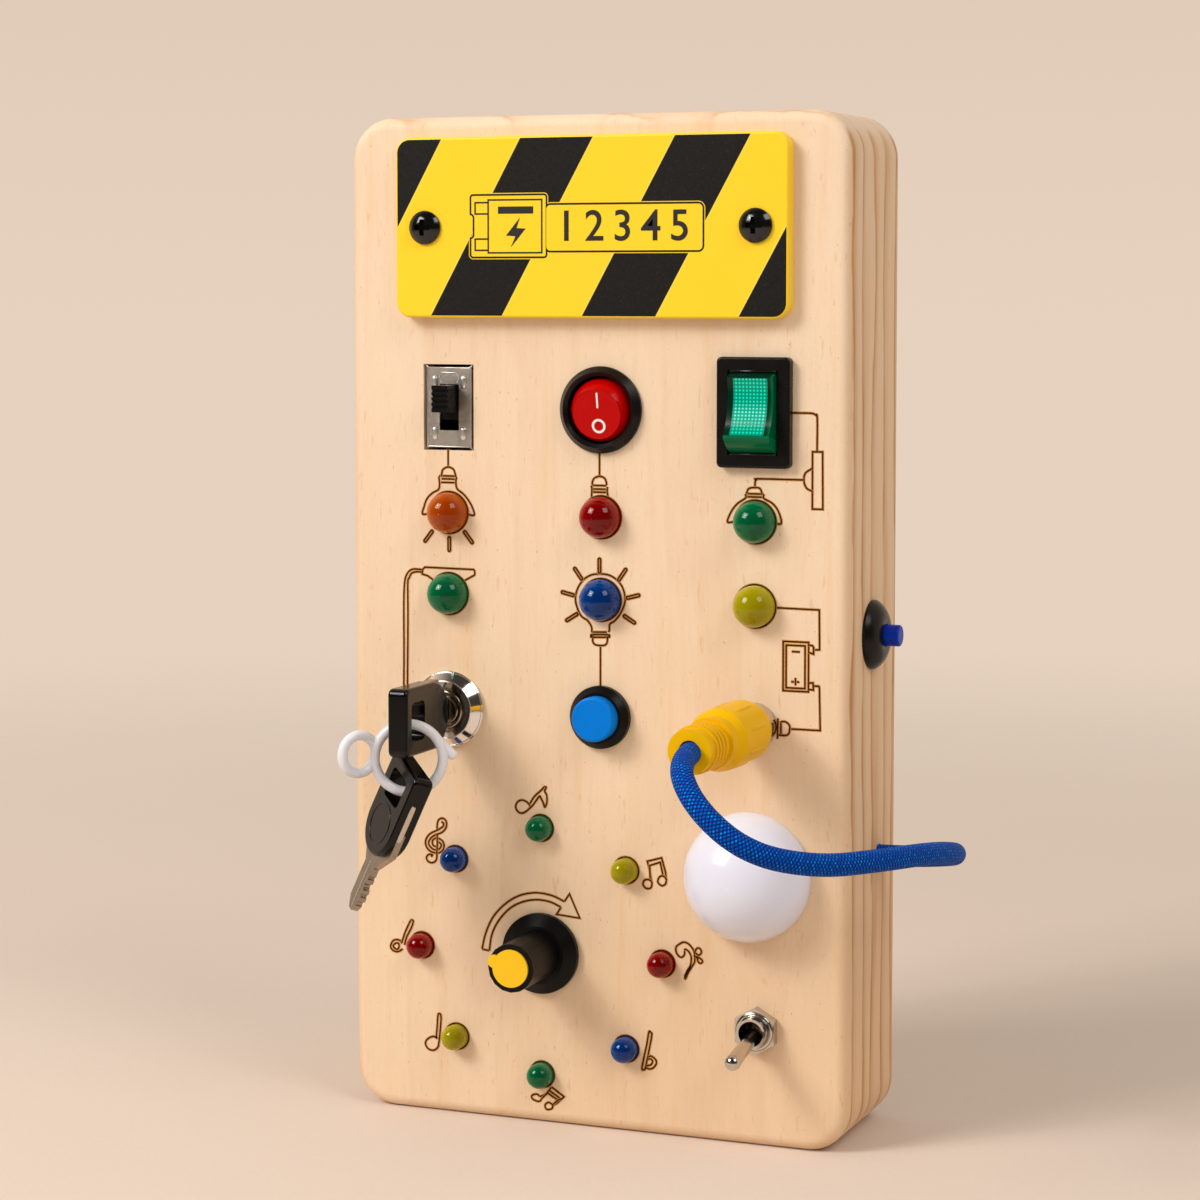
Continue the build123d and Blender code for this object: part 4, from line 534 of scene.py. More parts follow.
# %% Lines of the drawings: points across,up in millimetres, lines set apart by upright bars
STRAIGHT = """
-31.1,134.3 -31.1,130.7|-33.1,128.9 -29.2,128.9|-32.6,128.3 -29.3,128.3|-32.7,127.6 -29.3,127.6|1.4,134.9
1.4,129.6|-0.4,127.8 2.9,127.8|-0.3,127.1 2.9,127.1|-0.3,126.5 3,126.5|45,135.3 47,135.3 47.1,124.4 45,124.4
45,135.3|31.5,127 35.3,127|31.7,126.4 35.2,126.4|-0.2,99 3,99.1|1.6,96.5 1.6,87.5|37.2,105.3 46.5,105.2
46.6,97.6 45.4,97.5|39.3,98.9 44.4,98.9 44.4,89.4 39.3,89.4 39.3,98.9|39.9,98.2 43.7,98.2 43.7,90 39.9,90
39.9,98.2|41,97 42.7,97|40.9,91.2 42.6,91.2|41.8,92 41.8,90.5|38.9,83.5 38.9,80.5|38.3,84 38.2,80|44.4,98.4
45.2,98.3 45.4,98 45.4,96.7 44.4,97|44.5,91.1 45.3,91.2 45.4,89.8 44.5,89.9|45.5,90.6 46.5,90.6 46.6,90.2
46.8,82.1 40.8,82.1|-6.1,45.1 -5,46.7 -2.8,42 -7.8,42.4 -6.8,43.9|-24,34.1 -22.4,33.9|-34.4,108 -35.7,108.8
-36.9,109.1 -36.8,110 -36.3,110.5 -25.6,110.4 -25.3,110|-25.3,110 -25.4,109.3 -27.8,108|-11.5,5.3 -10.1,5.9
-8.9,7.5|-11.1,4.9 -9.8,6.2|-8.9,7.5 -7.6,6.7 -6.2,5.8 -7,5 -7.9,4.2 -8.6,3.8|-9.3,6.7 -8.1,6
-6.9,5.3|-9.7,6.2 -8.7,5.6 -7.5,5|-6.9,5.3 -7.5,5 -8.6,4|12.5,50 12,52.5 11.5,54.4 14.5,55.3 15.3,52.5
15.5,50.9|12.1,50.5 12,53.6 14.2,54.4 14.8,51.7|22.1,36.7 22.2,36.3"""
CURVED = """
-32.5,128.8 -32.5,129.4 -32.2,130.2 -31.1,130.7 -30,130.3 -29.6,129.5 -29.5,128.9|-33.1,128.8 -33.1,126.4
-34.6,125.4 -35.8,124.2 -36.4,122.7 -36.8,121.2 -35.6,121.2|-29.2,128.7 -29.4,128.1 -29.2,126.5 -27.8,125.4
-26.7,124.2 -25.9,122.9 -25.4,121.3 -26.7,121.3|-0.1,127.8 -0.1,128.4 0.3,129.2 1.4,129.6 2.4,129.3 2.8,128.6
2.9,127.9|-0.4,127.7 -0.2,127.2 -0.3,125|3.1,127.6 3,126.8 3.3,125|40.8,142.6 44.6,142.6 45.5,142.3 45.9,141.7
45.9,135.4|44.9,132.1 43.6,131.2 43.3,129.8 43.8,128.4 45.1,127.7|43.3,129.9 34.3,129.9 33.7,129.7 33.5,129.3
33.5,128.2|31.8,126.9 32,127.7 32.5,128.1 33.5,128.2 34.4,128.1 34.8,127.5 34.9,127|31.5,126.9 31.6,126.2
29.9,125 28.7,123.5 27.9,121.5 29.1,121.5|35.3,127 35.3,126.2 37.1,125.2 38.3,123.6 38.8,121.5
37.2,121.5|-41.1,84.5 -41,93.6 -41,102.7 -40.8,107.2 -40.2,109.1 -39,110 -37,110|-40.3,84.9 -40.1,99.7
-40.1,107 -39.8,108.2 -39.2,109.2 -38.2,109.5 -36.9,109.5|-0.2,98.9 -0.3,100 -1.1,101.2 -2.4,102 -3.3,103.6
-3.7,105.5 -3.2,107.5 -2,109.2 -0.4,110.2 1.5,110.5 3.5,110.3 5.1,109.4 6.3,107.9 6.8,105.8 6.5,104.3
5.7,102.7 4.6,101.4 3.6,100.7 3.5,99.6 3.3,99.1|-0.1,98.5 3.2,98.6 3.4,98.3 3.2,98.1 -0.1,98 -0.3,98.2
-0.1,98.5|0,97.8 0,97.1 0.6,96.5 2.4,96.5 3,97.1 3.1,98|38.9,83.4 39.9,83.4 40.6,82.8 40.7,82.1 40.5,81.2
39.9,80.8 38.4,80.8|-24,34.1 -23.1,37.6 -21.4,41 -18.7,43.8 -15.7,45.6 -12.2,46.4 -8.8,46.1
-6.1,45.1|-6.8,43.9 -9.2,44.8 -12.2,45 -15.2,44.3 -17.9,42.8 -20.3,40.2 -21.8,37.3 -22.4,33.9|-13.6,64
-14.2,64.5 -15.1,64.8 -16,64.5 -16.5,63.8 -16.5,63 -15.9,62.3 -15.1,62.2 -14.3,62.6 -13.6,63.2|-13.6,64
-13.5,63.6 -13.6,63.2|-13.5,64.2 -12.5,65.7 -11.3,66.8 -10.2,67.9|-10.2,67.9 -10,67.6 -10.3,66.9 -9.9,66.2
-9.8,65.3 -9.9,64.4 -10.3,63.7 -10.6,64.5 -11,65.2 -11.4,65.8 -12.2,64.8 -12.9,63.9 -13.6,63.2|-32.9,59.3
-32.4,59 -32.5,58.4 -33.1,57.9 -34,57.4 -35.2,56.8 -36,56 -36.4,55 -36.2,54 -35.6,53.3 -34.6,52.9 -33.5,52.9
-32.6,53.5 -32.3,54.4 -32.5,55.2 -33.1,55.7 -34,55.9 -34.7,55.5 -34.9,55 -34.7,54.4 -34.1,54.1|-33.8,57.7
-33.8,58.4 -33.6,59.4 -33.1,59.9 -32.5,60 -31.9,59.6 -31.7,58.8 -32,57.9 -32.8,57.1 -34,56.6 -34.9,56.1
-35.5,55.4 -35.7,54.7 -35.3,54 -34.5,53.5 -33.6,53.6 -33.1,54 -32.9,54.6 -33.3,55 -33.8,55.2|-33.8,56.6
-33.8,55.7 -33.8,54.3 -33.9,53 -33.9,52 -34.2,51.2 -35,50.8 -35.8,51 -36.2,51.6 -36,52.2 -35.5,52.5 -34.9,52.4
-35.2,52|19.3,37.3 19.3,36.6 18.9,36.1 18.4,36 17.8,36.5 17.5,37.2 17.6,38 18.3,38.6 19.1,39 20,38.8 20.8,38.1
21.3,37.2 21.4,36.2 21.4,35.3 20.8,34.2 20.1,33.1 19.5,31.8 19.4,32.3 19.8,33.3 20.5,34.5 20.7,35.6 20.6,36.5
20.1,37.3 19.5,37.6 19.2,37.4|21.5,37.3 21.7,37.8 22.1,38.1 22.6,37.9 22.8,37.4 22.6,36.9 22.2,36.7 21.8,36.9
21.5,37.1|21.5,36.4 22,36.3 22.5,36.1 22.9,35.8 23,35.4 22.6,35.1 22.2,35.3 22,35.8 21.9,36.3|-11.5,5.3
-11.9,5.7 -12.5,5.7 -13.1,5.4 -13.2,5 -12.9,4.6 -12.3,4.4 -11.8,4.3 -11.3,4.5 -11.1,4.9|-8.6,3.9 -9.1,4.2
-9.6,4.3 -10.2,3.9 -10.3,3.4 -10,2.9 -9.4,2.9 -8.8,3.2 -8.6,3.8|11.8,20.3 12,20.7 12.3,20.5 12.5,20.1
12.1,17.9 11.5,14.9 11.1,13.2 10.8,12.9 10.4,13.1 10.8,15.2 11.4,17.9 11.8,20.3|11.8,15.6 12.3,15.8 12.9,15.5
13.4,15 13.4,14.3 12.9,13.6 12.2,13.2 11.3,13.3|11.7,15.1 12.2,15.2 12.6,14.9 12.6,14.5 12.2,14
11.4,13.8|-41.7,33.8 -42.1,34.3 -42.8,34.5 -43.6,34.3 -44.1,33.7 -44.3,32.9 -43.9,32.3 -43.1,32 -42.3,32.2
-41.6,32.7|-42.4,33.2 -42.5,33.7 -42.9,33.8 -43.4,33.6 -43.7,33.1 -43.4,32.7 -42.9,32.5 -42.5,32.8
-42.4,33.2|-41.8,34 -41.1,36 -40.1,38.1 -39.6,38.9|-39.6,38.9 -39.2,38.5 -39.7,37.1 -40.7,35.2
-41.2,33.5|12.5,50 12.3,49.3 11.7,49 11,49.2 10.6,49.8 10.8,50.5 11.4,50.8 12.1,50.7 12.5,50.2|15.5,50.9
15.3,50.2 14.7,49.8 14.1,50 13.7,50.5 13.9,51.3 14.4,51.7 15.1,51.6 15.4,51.2|-33.9,15 -34.7,15.3 -35.5,15.1
-36.3,14.5 -36.6,13.8 -36.3,13 -35.5,12.5 -34.5,12.6 -33.8,13.3 -33.6,14.2 -33.3,16.7 -33.1,19.2 -33.2,20
-33.6,20.1 -33.8,19.6 -34,17.1 -34.2,15.1"""
RAYS = """
-34.7,117.7 -36.2,115.8|-30.9,116.5 -30.9,114.1|-27.5,117.8 -25.9,115.8|1.4,113.3 1.4,110.9|-3.8,111.3
-2.4,109.4|6.9,111.5 5.5,109.5|-6.4,106.6 -4.2,106.1|7.3,106 9.6,106.6|-3.4,102.4 -5.5,101.1|6.7,102.4
8.7,101.2"""


def strokes(text):
    """Lines of points, set apart by upright bars."""
    return [read(part) for part in text.split("|")]


print("straight, curved and ray lines:", *(len(strokes(text)) for text in (STRAIGHT, CURVED, RAYS)))

# %% Points on the face, and several grids in one mesh
def on_face(flat, height):
    """Points (x, z) laid on the front face at a height out of it, in millimetres."""
    flat = np.asarray(flat, float)
    return np.stack([flat[..., 0], np.full(flat.shape[:-1], FACE) - height, flat[..., 1]], -1)


def gather(parts):
    """Joins several (points, faces) into one list of points and one of faces."""
    points, faces, first = [], [], 0
    for grid, quads in parts:
        points.append(grid.reshape(-1, 3))
        faces.append(quads + first)
        first += len(points[-1])
    return np.vstack(points), np.vstack(faces)

# %% Burnt lines laid on the face
LINE_HALF, RAY_HALF = 0.36, 0.27           # half widths of a burnt line and of a lamp's ray
LOWEST, LAYER = 0.012, 0.0006              # heights over the face, so that crossing lines don't fight
LAMP_RADIUS, RING_LAMP_RADIUS, DARK_RING_GAP = 4.05, 2.5, 0.12
RING_MIDDLE, RING_RADIUS = (-10.92, 34.5), 25.2
RING_SHIFTS = read("-0.2,-0.2 0.15,0 0.4,-0.1 0.2,0.1 0,0.6 -0.85,-0.8 -1.1,-0.6 -1.0,-0.3")
drawings = strokes(STRAIGHT) + [smooth_line(s) for s in strokes(CURVED)]
drawings += [capsule(*ray, RAY_HALF) for ray in strokes(RAYS)]
circle = np.linspace(0, tau, 49)
circle = np.stack([np.cos(circle), np.sin(circle)], -1)
# painted shade: dark rings round the lamps stand for the gap and shadow at each hole's edge, with some scorch
# of the cut
drawings += [circle * (LAMP_RADIUS + DARK_RING_GAP) + (x, z) for x in (LEFT, MIDDLE, RIGHT) for z in LAMP_ROWS]
ring_angles = (pi / 2 - np.arange(8) * pi / 4)[:, None]
ring_places = RING_MIDDLE + RING_RADIUS * np.hstack([np.cos(ring_angles), np.sin(ring_angles)]) + RING_SHIFTS
drawings += [circle * (RING_LAMP_RADIUS + DARK_RING_GAP) + spot for spot in ring_places]
ribbons = [ribbon(stroke, LINE_HALF) for stroke in drawings]
points, faces = gather([(on_face(grid, LOWEST + LAYER * index), grid_faces(*grid.shape[:2])[:, ::-1])
                        for index, (grid, _) in enumerate(ribbons)])
uvs = np.vstack([uv.reshape(-1, 2) for _, uv in ribbons])
line_art = piece("burnt_lines", points, faces, scorch, "board", uvs)

# %% [markdown]
# ## Sign plate
# A thick acrylic plate is painted with hazard stripes. Paint has no thickness, so the stripes are in the
# finish and not separate pieces. They slant by a fixed amount of width for each millimetre of height, so
# one slanted coordinate, counted in stripe widths, gives them all. A plaque in the middle stays yellow
# inside a thin black outline: its shape is the least of two rounded boxes' distances. The print lies on the
# front only, so the plate's rim stays yellow. Dust and fine scratches dull the ink.

# %% Sign finish
SIGN_Z, SIGN_THICK = 178.1, 2.97           # its middle's height, and its front's distance from the face
SLANT, SHIFT, PITCH = 0.557, 23.7, 32.2    # stripes: slant, start and width of a black and yellow pair
BLACK_FROM, BLACK_TO = 0.25, 0.725         # the black share of a pair
sign = Finish("printed acrylic", Roughness=0.32, shine=0.2)
x, y, z = sign.parts(sign.place(move=(0, 0, -SIGN_Z)))


def rounded_box(across, up, wide, high, corner):
    """Distance outside a box with round corners, in millimetres, negative inside."""
    a, b = abs(across) - (wide / 2 - corner), abs(up) - (high / 2 - corner)
    outside = (a.most(0.0) ** 2.0 + b.most(0.0) ** 2.0).root()
    return outside + a.most(b).least(0.0) - corner


band = ((x - z * SLANT + SHIFT) / PITCH + 0.25).fract()
soft = 0.003
black = band.step(BLACK_FROM - soft, BLACK_FROM + soft) * (1.0 - band.step(BLACK_TO - soft, BLACK_TO + soft))
badge = rounded_box(x + 16.6, z - 0.2, 16.9, 12.9, 0.9).most(-rounded_box(x + 25.6, z - 0.2, 2.4, 4.0, 0.4))
label = rounded_box(x - 7.6, z + 0.2, 33.4, 9.9, 1.4)
plaque = badge.least(label)
inside = 1.0 - plaque.step(-0.06, 0.06)
outline = 1.0 - abs(plaque + 0.35).step(0.14, 0.24)
rim = 1.0 - abs(abs(band - (BLACK_FROM + BLACK_TO) / 2) - (BLACK_TO - BLACK_FROM) / 2).step(0.002, 0.009)
black = (black * (1.0 - inside)).most(outline)
front = y < (FACE - SIGN_THICK)
scratch = sign.noise(sign.place((0.5, 0.5, 3.0)), 1.2, 6.0, 0.7)
dust = sign.noise(sign.place(), 2.2, 6.0, 0.85, 0.6).step(0.56, 0.74)
swirl = sign.noise(sign.place(), 0.55, 3.0, 0.55, 1.6)
hair = 1.0 - abs((swirl * 9.0).fract() - 0.5).step(0.0, 0.07)
ink = sign.mix((dust * 0.45).most(hair * 0.35), (0.008, 0.007, 0.006), (0.085, 0.078, 0.068))
coat = sign.mix(sign.noise(sign.place(), 0.05, 2.0), (0.93, 0.640, 0.030), (0.91, 0.60, 0.020))
coat = sign.mix(rim * front * (1.0 - inside) * 0.6, coat, (1.0, 0.80, 0.16))
inked = black * front
sign.set(Base_Color=sign.mix(inked, coat, ink), Roughness=0.30 + inked * (0.12 + dust * 0.25))
sign.bump(scratch, 0.04, 0.0001)
dress(sign, "sign_plate")

# %% [markdown]
# ## Print on the sign
# A flash in the outline of a socket and plain numbers are printed in the plaque. Shapes as small and as
# varied as these would take many terms in the finish, so they are thin flat meshes just over the plate. The
# numbers are text, made a mesh first and then laid on the face, its x across and its y up.

# %% A lightning flash in the outline of a socket
PRINT = 3.03    # the print's height over the face, in millimetres
ink_black = Finish("black print", Roughness=0.45, Base_Color=(0.012, 0.011, 0.010))
frame_line, prong_high, prong_low, flash, bar_top = (read(text) + (0, SIGN_Z) for text in (
    "-20.9,5.3 -9.5,5.3 -9.5,-5.0 -20.9,-5.0 -20.9,5.3", "-20.9,4.8 -23.7,4.8 -23.7,2.6 -20.9,2.6",
    "-20.9,-2.3 -23.7,-2.3 -23.7,-4.5 -20.9,-4.5",
    "-14.1,1.9 -17.1,-1.65 -15.1,-1.8 -16.1,-4.0 -12.9,-0.3 -14.85,-0.2",
    "-18.8,4.0 -11.3,4.0 -11.3,2.6 -18.8,2.6"))
lines = [ribbon(stroke, 0.16)[0] for stroke in (frame_line, prong_high, prong_low)]
points, faces = gather([(on_face(grid, PRINT), grid_faces(*grid.shape[:2])[:, ::-1]) for grid in lines])
corners = list(range(len(points), len(points) + len(flash) + len(bar_top)))
faces = faces.tolist() + [corners[:len(flash)], corners[len(flash):]]
points = np.vstack([points, on_face(flash, PRINT), on_face(bar_top, PRINT)])
mesh = bpy.data.meshes.new("sign_symbol")
mesh.from_pydata((points * MM).tolist(), [], faces)
mesh.materials.append(ink_black.material)
symbol = new_object("sign_symbol", mesh)
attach(symbol, "board")
print("sign_symbol", len(mesh.polygons), "faces")

# %% Plain numbers
words = bpy.data.curves.new("sign_numbers", "FONT")
words.body, words.size, words.align_x, words.align_y = "1 2 3 4 5", 8.4 * MM, "CENTER", "CENTER"
words.space_character, words.offset, words.extrude = 0.92, 0.06 * MM, 0.02 * MM
mesh = meshed(words)
mesh.transform(Matrix(((1, 0, 0, 7.4 * MM), (0, 0, -1, (FACE - PRINT) * MM), (0, 1, 0, (SIGN_Z - 0.15) * MM),
                       (0, 0, 0, 1))))
mesh.materials.append(ink_black.material)
numbers = new_object("sign_numbers", mesh)
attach(numbers, "board")
print("sign_numbers", len(mesh.polygons), "faces")

# %% [markdown]
# ## Plastics and metals
# Moulded plastic is never quite even: a fine orange-peel bump and a little change in gloss make the light
# break up. A metal's look is mostly what it mirrors, so it needs little more than its tint, its gloss and
# fine marks. Each piece could have nodes of its own, but one helper for plastics and one for metals keep
# them alike in how they break the light, and leave only colour, gloss and marks to choose.

# %% Plain finishes
def moulded(name, colour, rough, peel=0.05, spread=0.12, scale=1.2, **more):
    """Moulded plastic: a colour that drifts by a few percent, a drifting gloss and an orange-peel bump."""
    made = Finish(name, **more)
    drift = made.noise(made.place(), 0.25, 3.0)
    peel_noise = made.noise(made.place(), scale, 3.0, 0.6)
    darker = tuple(c * (1 - spread) for c in colour)
    made.set(Base_Color=made.mix(drift, darker, colour), Roughness=rough - 0.06 + drift * 0.12)
    return made.bump(peel_noise, peel, 0.0002)


def metal(name, colour, rough, lines=(1, 1, 1), scale=2.0, depth=0.05, stain=0.1):
    """Metal: drifting gloss, fine marks stretched along one way, and a faint stain."""
    made = Finish(name, Metallic=1.0)
    marks = made.noise(made.place(lines), scale, 4.0, 0.65)
    cloud = made.noise(made.place(), 0.4, 3.0)
    made.set(Base_Color=made.mix(cloud.step(0.4, 0.8) * stain, colour, tuple(c * 0.55 for c in colour)),
             Roughness=rough - 0.05 + marks * 0.14)
    return made.bump(marks, depth, 0.0001)


black_plastic = moulded("black plastic", (0.006, 0.0055, 0.005), 0.27, shine=0.22)
matte_black = moulded("matte black plastic", (0.004, 0.0036, 0.003), 0.34, 0.12, shine=0.15)
bow_black = moulded("glossy key bow", (0.002, 0.0018, 0.0015), 0.15, 0.02, shine=0.30)
gloss_black = moulded("gloss black screw", (0.003, 0.0026, 0.002), 0.14, 0.03, shine=0.6)
blue_plastic = moulded("bright blue plastic", (0.0, 0.190, 0.70), 0.34, shine=0.08)
deep_blue = moulded("deep blue plastic", (0.0, 0.030, 0.40), 0.34, shine=0.15)
yellow_plastic = moulded("yellow plug", (0.84, 0.46, 0.0), 0.36, 0.05, 0.06, shine=0.08)
yellow_cap = moulded("yellow pointer", (0.90, 0.53, 0.010), 0.34, 0.04, 0.05, shine=0.25)
white_silicone = moulded("white tie", (0.76, 0.76, 0.80), 0.24, 0.03, 0.04, Subsurface_Weight=0.3,
                         Subsurface_Scale=0.001, Subsurface_Radius=(1.0, 1.0, 1.0))
chrome = metal("polished chrome", (0.86, 0.85, 0.83), 0.08)
nickel = metal("nickel", (0.60, 0.56, 0.51), 0.12)
# painted reflection: the lock plug's nickel is tinted brown and darker for the wood it mirrors
nickel_painted_reflection = metal("painted_reflection nickel", (0.40, 0.34, 0.27), 0.15, stain=0.3)
sheet_steel = metal("galvanised sheet", (0.52, 0.47, 0.41), 0.34, scale=2.6, depth=1.0, stain=0.6)
trim_steel = metal("key liner", (0.62, 0.56, 0.49), 0.24)
# painted highlight: the case's tabs, stamped outline and edge, bent from the same sheet, get this paler steel
tab_steel_painted_highlight = metal("bright steel tab", (0.86, 0.83, 0.78), 0.30)
key_steel = metal("key blank", (0.36, 0.31, 0.25), 0.26, (3.0, 3.0, 0.5), 1.6, 0.14, 0.5)
print("materials so far:", len(bpy.data.materials))

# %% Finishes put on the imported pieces
dress(gloss_black, "sign_plate_screws")
dress(black_plastic, "round_rocker_housing", "square_rocker_housing", "slide_switch_slider",
      "slide_switch_base", "side_button_housing", "battery_door", "pot_body", "battery_tray")
dress(matte_black, "push_button_housing", "knob_body", "cord_stop")
dress(bow_black, "key_bow", "spare_key_bow")
dress(blue_plastic, "push_button_cap")
dress(deep_blue, "side_button_cap")
dress(yellow_plastic, "plug_body")
dress(yellow_cap, "knob_pointer")
dress(white_silicone, "key_tie")
dress(chrome, "lock_housing")
dress(nickel_painted_reflection, "lock_plug")
dress(nickel, "panel_nuts_small", "panel_nuts_large", "jack_socket", "toggle_bushing", "toggle_lever",
      "plug_pin", "pot_nut", "pot_shaft", "battery_contacts", "toggle_body", "push_button_nut")
dress(sheet_steel, "slide_switch_case", "switch_terminals", "lamp_leads")
dress(key_steel, "key_blade", "spare_key_blade")

# %% [markdown]
# ## Lamps
# A lamp is a coloured clear dome with a polished surface. True glass would need its inside built and many
# bounces of light. Here a share of the light passes through and lights the far side. The colour is deep in
# the middle, where the way through is longest, and brighter towards the rim, a painted glow of light
# gathered at the rim. The large dome is opal: light spreads a little way inside it.

# %% Lens finishes
def lens(name, deep, bright):
    """Deep where it is seen head on, bright towards its rim with a painted glow."""
    made = Finish(name, Roughness=0.045, IOR=1.5, shine=0.26, Transmission_Weight=0.25)
    swirl = made.noise(made.place(), 0.35, 2.0)
    # painted light: the colour brightens towards the rim as a glow of light gathered there
    rim = made.node("ShaderNodeLayerWeight", {}, {"Blend": 0.42}, 1)
    made.set(Base_Color=made.mix(rim * 0.8 + swirl * 0.2, deep, bright))
    return made


LENSES = {
    "orange": ((0.30, 0.022, 0.0), (0.74, 0.17, 0.0)),
    "red": ((0.14, 0.0, 0.0), (0.50, 0.0, 0.0)),
    "green": ((0.0, 0.070, 0.022), (0.0, 0.30, 0.10)),
    "blue": ((0.0, 0.017, 0.125), (0.0, 0.10, 0.46)),
    "yellow": ((0.30, 0.245, 0.0), (0.64, 0.56, 0.0)),
}
clear = {colour: lens(colour + " lens", *tones) for colour, tones in LENSES.items()}
for colour, finish in clear.items():
    dress(finish, *[name for name in nodes if name.startswith("lamp_" + colour)
                    or name == "ring_lamps_" + colour])
dome_white = moulded("opal dome", (0.76, 0.77, 0.90), 0.18, 0.01, 0.03, 0.3, Subsurface_Weight=0.4,
                     Subsurface_Scale=0.003, Subsurface_Radius=(1.0, 1.0, 1.0))
dress(dome_white, "dome_lens")

# %% [markdown]
# ## Rocker caps
# The green cap is lit from inside through an even grid of dots. They are brightest in a band a little below
# the middle, a painted highlight, and the cap's lower lip and right side are a paler green, painted light. A
# lamp inside a clear cap would give the same glow, with more noise, so the dots glow by themselves. The
# pattern is measured along the tilted face: the object position is first turned by the rocker's tilt. On the
# red cap a fine rim and the marks I and O are laid on a plane just over its face, because they ride with it.

# %% Rocker finishes
SQUARE_TILT, SQUARE_DEPTH = radians(12), 0.5    # how far it leans, and its pivot's depth in the board
DOT_ACROSS, DOT_UP = 0.71, 0.68                 # pitch of the dots, in millimetres
rocker_red = moulded("red rocker", (0.50, 0.0, 0.0), 0.2, 0.03, 0.1, shine=0.12)
dress(rocker_red, "round_rocker_cap")
green = Finish("lit green rocker", Roughness=0.16, shine=0.18, Emission_Strength=0.70)
x, y, z = green.parts(green.place(move=(-RIGHT, -FACE - SQUARE_DEPTH, -SWITCHES)))
outward = z * sin(SQUARE_TILT) - y * cos(SQUARE_TILT)
upwards = z * cos(SQUARE_TILT) + y * sin(SQUARE_TILT)
cell_x, cell_z = (x / DOT_ACROSS + 0.5).fract() - 0.5, (upwards / DOT_UP + 0.5).fract() - 0.5
dot = 1.0 - (cell_x ** 2.0 + cell_z ** 2.0).root().step(0.16, 0.42)
lit = upwards.step(-5.4, -5.2) * (1.0 - upwards.step(5.5, 5.7))
lit = (1.0 - abs(x).step(3.3, 3.5)) * lit * (outward > 1.5)
# painted light: the lower lip and the right side of the cap are made a paler green
painted_light_lip = (1.0 - upwards.step(-5.5, -5.3)).most(x.step(3.7, 4.5) * 0.6) * (1.0 - upwards.step(6.5, 6.7))
# painted highlight: a band a little below the middle makes the dots and the gaps brighter and whiter
painted_highlight_band = 1.0 - abs(upwards + 0.9).step(0.0, 2.4)
between = green.mix(painted_highlight_band, (0.0, 0.07, 0.030), (0.0, 0.24, 0.15))
dots = green.mix(painted_highlight_band, (0.01, 0.80, 0.60), (0.35, 1.0, 0.92))
glow = green.mix(dot, between, dots)
shell = green.mix(painted_light_lip, (0.0, 0.018, 0.008), (0.0, 0.13, 0.050))
green.set(Base_Color=green.mix(lit, shell, (0.0, 0.22, 0.13)),
          Emission_Color=green.mix(lit, (0.0, 0.006, 0.002), glow))
dress(green, "square_rocker_cap")

# %% Shapes for fine parts: turned rings, round hoops and rounded bars
def turned(profile, sides=72):
    """A closed profile of (radius, height) turned about its axis: (r cos a, r sin a, h)."""
    r, h = np.array(profile, float).T[:, :, None]
    a = np.linspace(0, tau, sides, endpoint=False)[None, :]
    grid = np.stack(np.broadcast_arrays(r * np.cos(a), r * np.sin(a), h), -1)
    return grid, grid_faces(len(profile), sides, wrap_rows=True, wrap_columns=True)


def hoop(radius, thick, height):
    """A ring of round section: its profile is a circle of ten points at (radius, height)."""
    b = np.linspace(0, tau, 10, endpoint=False)
    return turned(np.stack([radius + thick * np.cos(b), height + thick * np.sin(b)], -1))


def rounded(centre, half, power=0.3, sides=24, rows=13):
    """A superellipsoid: centre + half times signed powers of cosines and sines. A small power gives a box
    with round edges, a power of 1 an egg."""
    def bend(value):
        """The value's sign times its size to the power."""
        return np.sign(value) * np.abs(value) ** power
    a = np.linspace(0, tau, sides, endpoint=False)[None, :]
    b = np.linspace(-pi / 2, pi / 2, rows)[:, None]
    level = bend(np.cos(b))
    unit = np.broadcast_arrays(level * bend(np.cos(a)), level * bend(np.sin(a)), bend(np.sin(b)))
    return np.asarray(centre) + np.stack(unit, -1) * half, grid_faces(rows, sides, wrap_columns=True)

# %% Fine parts, each laid on the board at its own origin
def laid(points, origin, across, up):
    """Points given as (across, up, out) from an origin, where out is across x up."""
    out = np.cross(across, up)
    points = np.asarray(points, float)
    return np.asarray(origin) + points[..., :1] * across + points[..., 1:2] * up + points[..., 2:] * out


def detail(name, parts, finish, slot, origin, across=ACROSS, up=UP, body="board", tidy=True):
    """Joins several (points, faces) and lays them at an origin along across and up; slot is not used."""
    points, quads = gather(parts)
    made = piece(name, laid(points, origin, across, up), quads, finish, body, tidy=tidy)

# %% Rim, I and O of the round rocker, laid on its tilted face
ROUND_TILT = radians(10)
ROUND_UP = np.array((0, -sin(ROUND_TILT), cos(ROUND_TILT)))
PIVOT_DEPTH, CAP_RISE = 1.5, 4.15           # the pivot's depth in the board, and the cap's face over it
MARK_LIFT = 0.02
BAR_PLACE, BAR_HALF = (0.31, 2.71), (0.19, 1.58)
LOOP_PLACE, LOOP_INNER, LOOP_OUTER = (0.32, -2.38), 0.95, 1.43
mark_white = Finish("white print", Roughness=0.5, Base_Color=(0.80, 0.78, 0.76))
cap_middle = np.array((MIDDLE, FACE + PIVOT_DEPTH, SWITCHES)) + CAP_RISE * np.cross(ACROSS, ROUND_UP)
along, side = np.linspace(-1, 1, 21)[:, None], np.linspace(-1, 1, 5)[None, :]
wide, high = BAR_HALF
round_end = np.clip((abs(along) * high - (high - wide)) / wide, 0, 1)
bar = (BAR_PLACE[0] + wide * np.sqrt(1 - round_end ** 2) * side, BAR_PLACE[1] + high * along, MARK_LIFT)
bar = np.stack(np.broadcast_arrays(*bar), -1)
r = np.linspace(LOOP_INNER, LOOP_OUTER, 4)[:, None]
a = np.linspace(0, tau, 48, endpoint=False)[None, :]
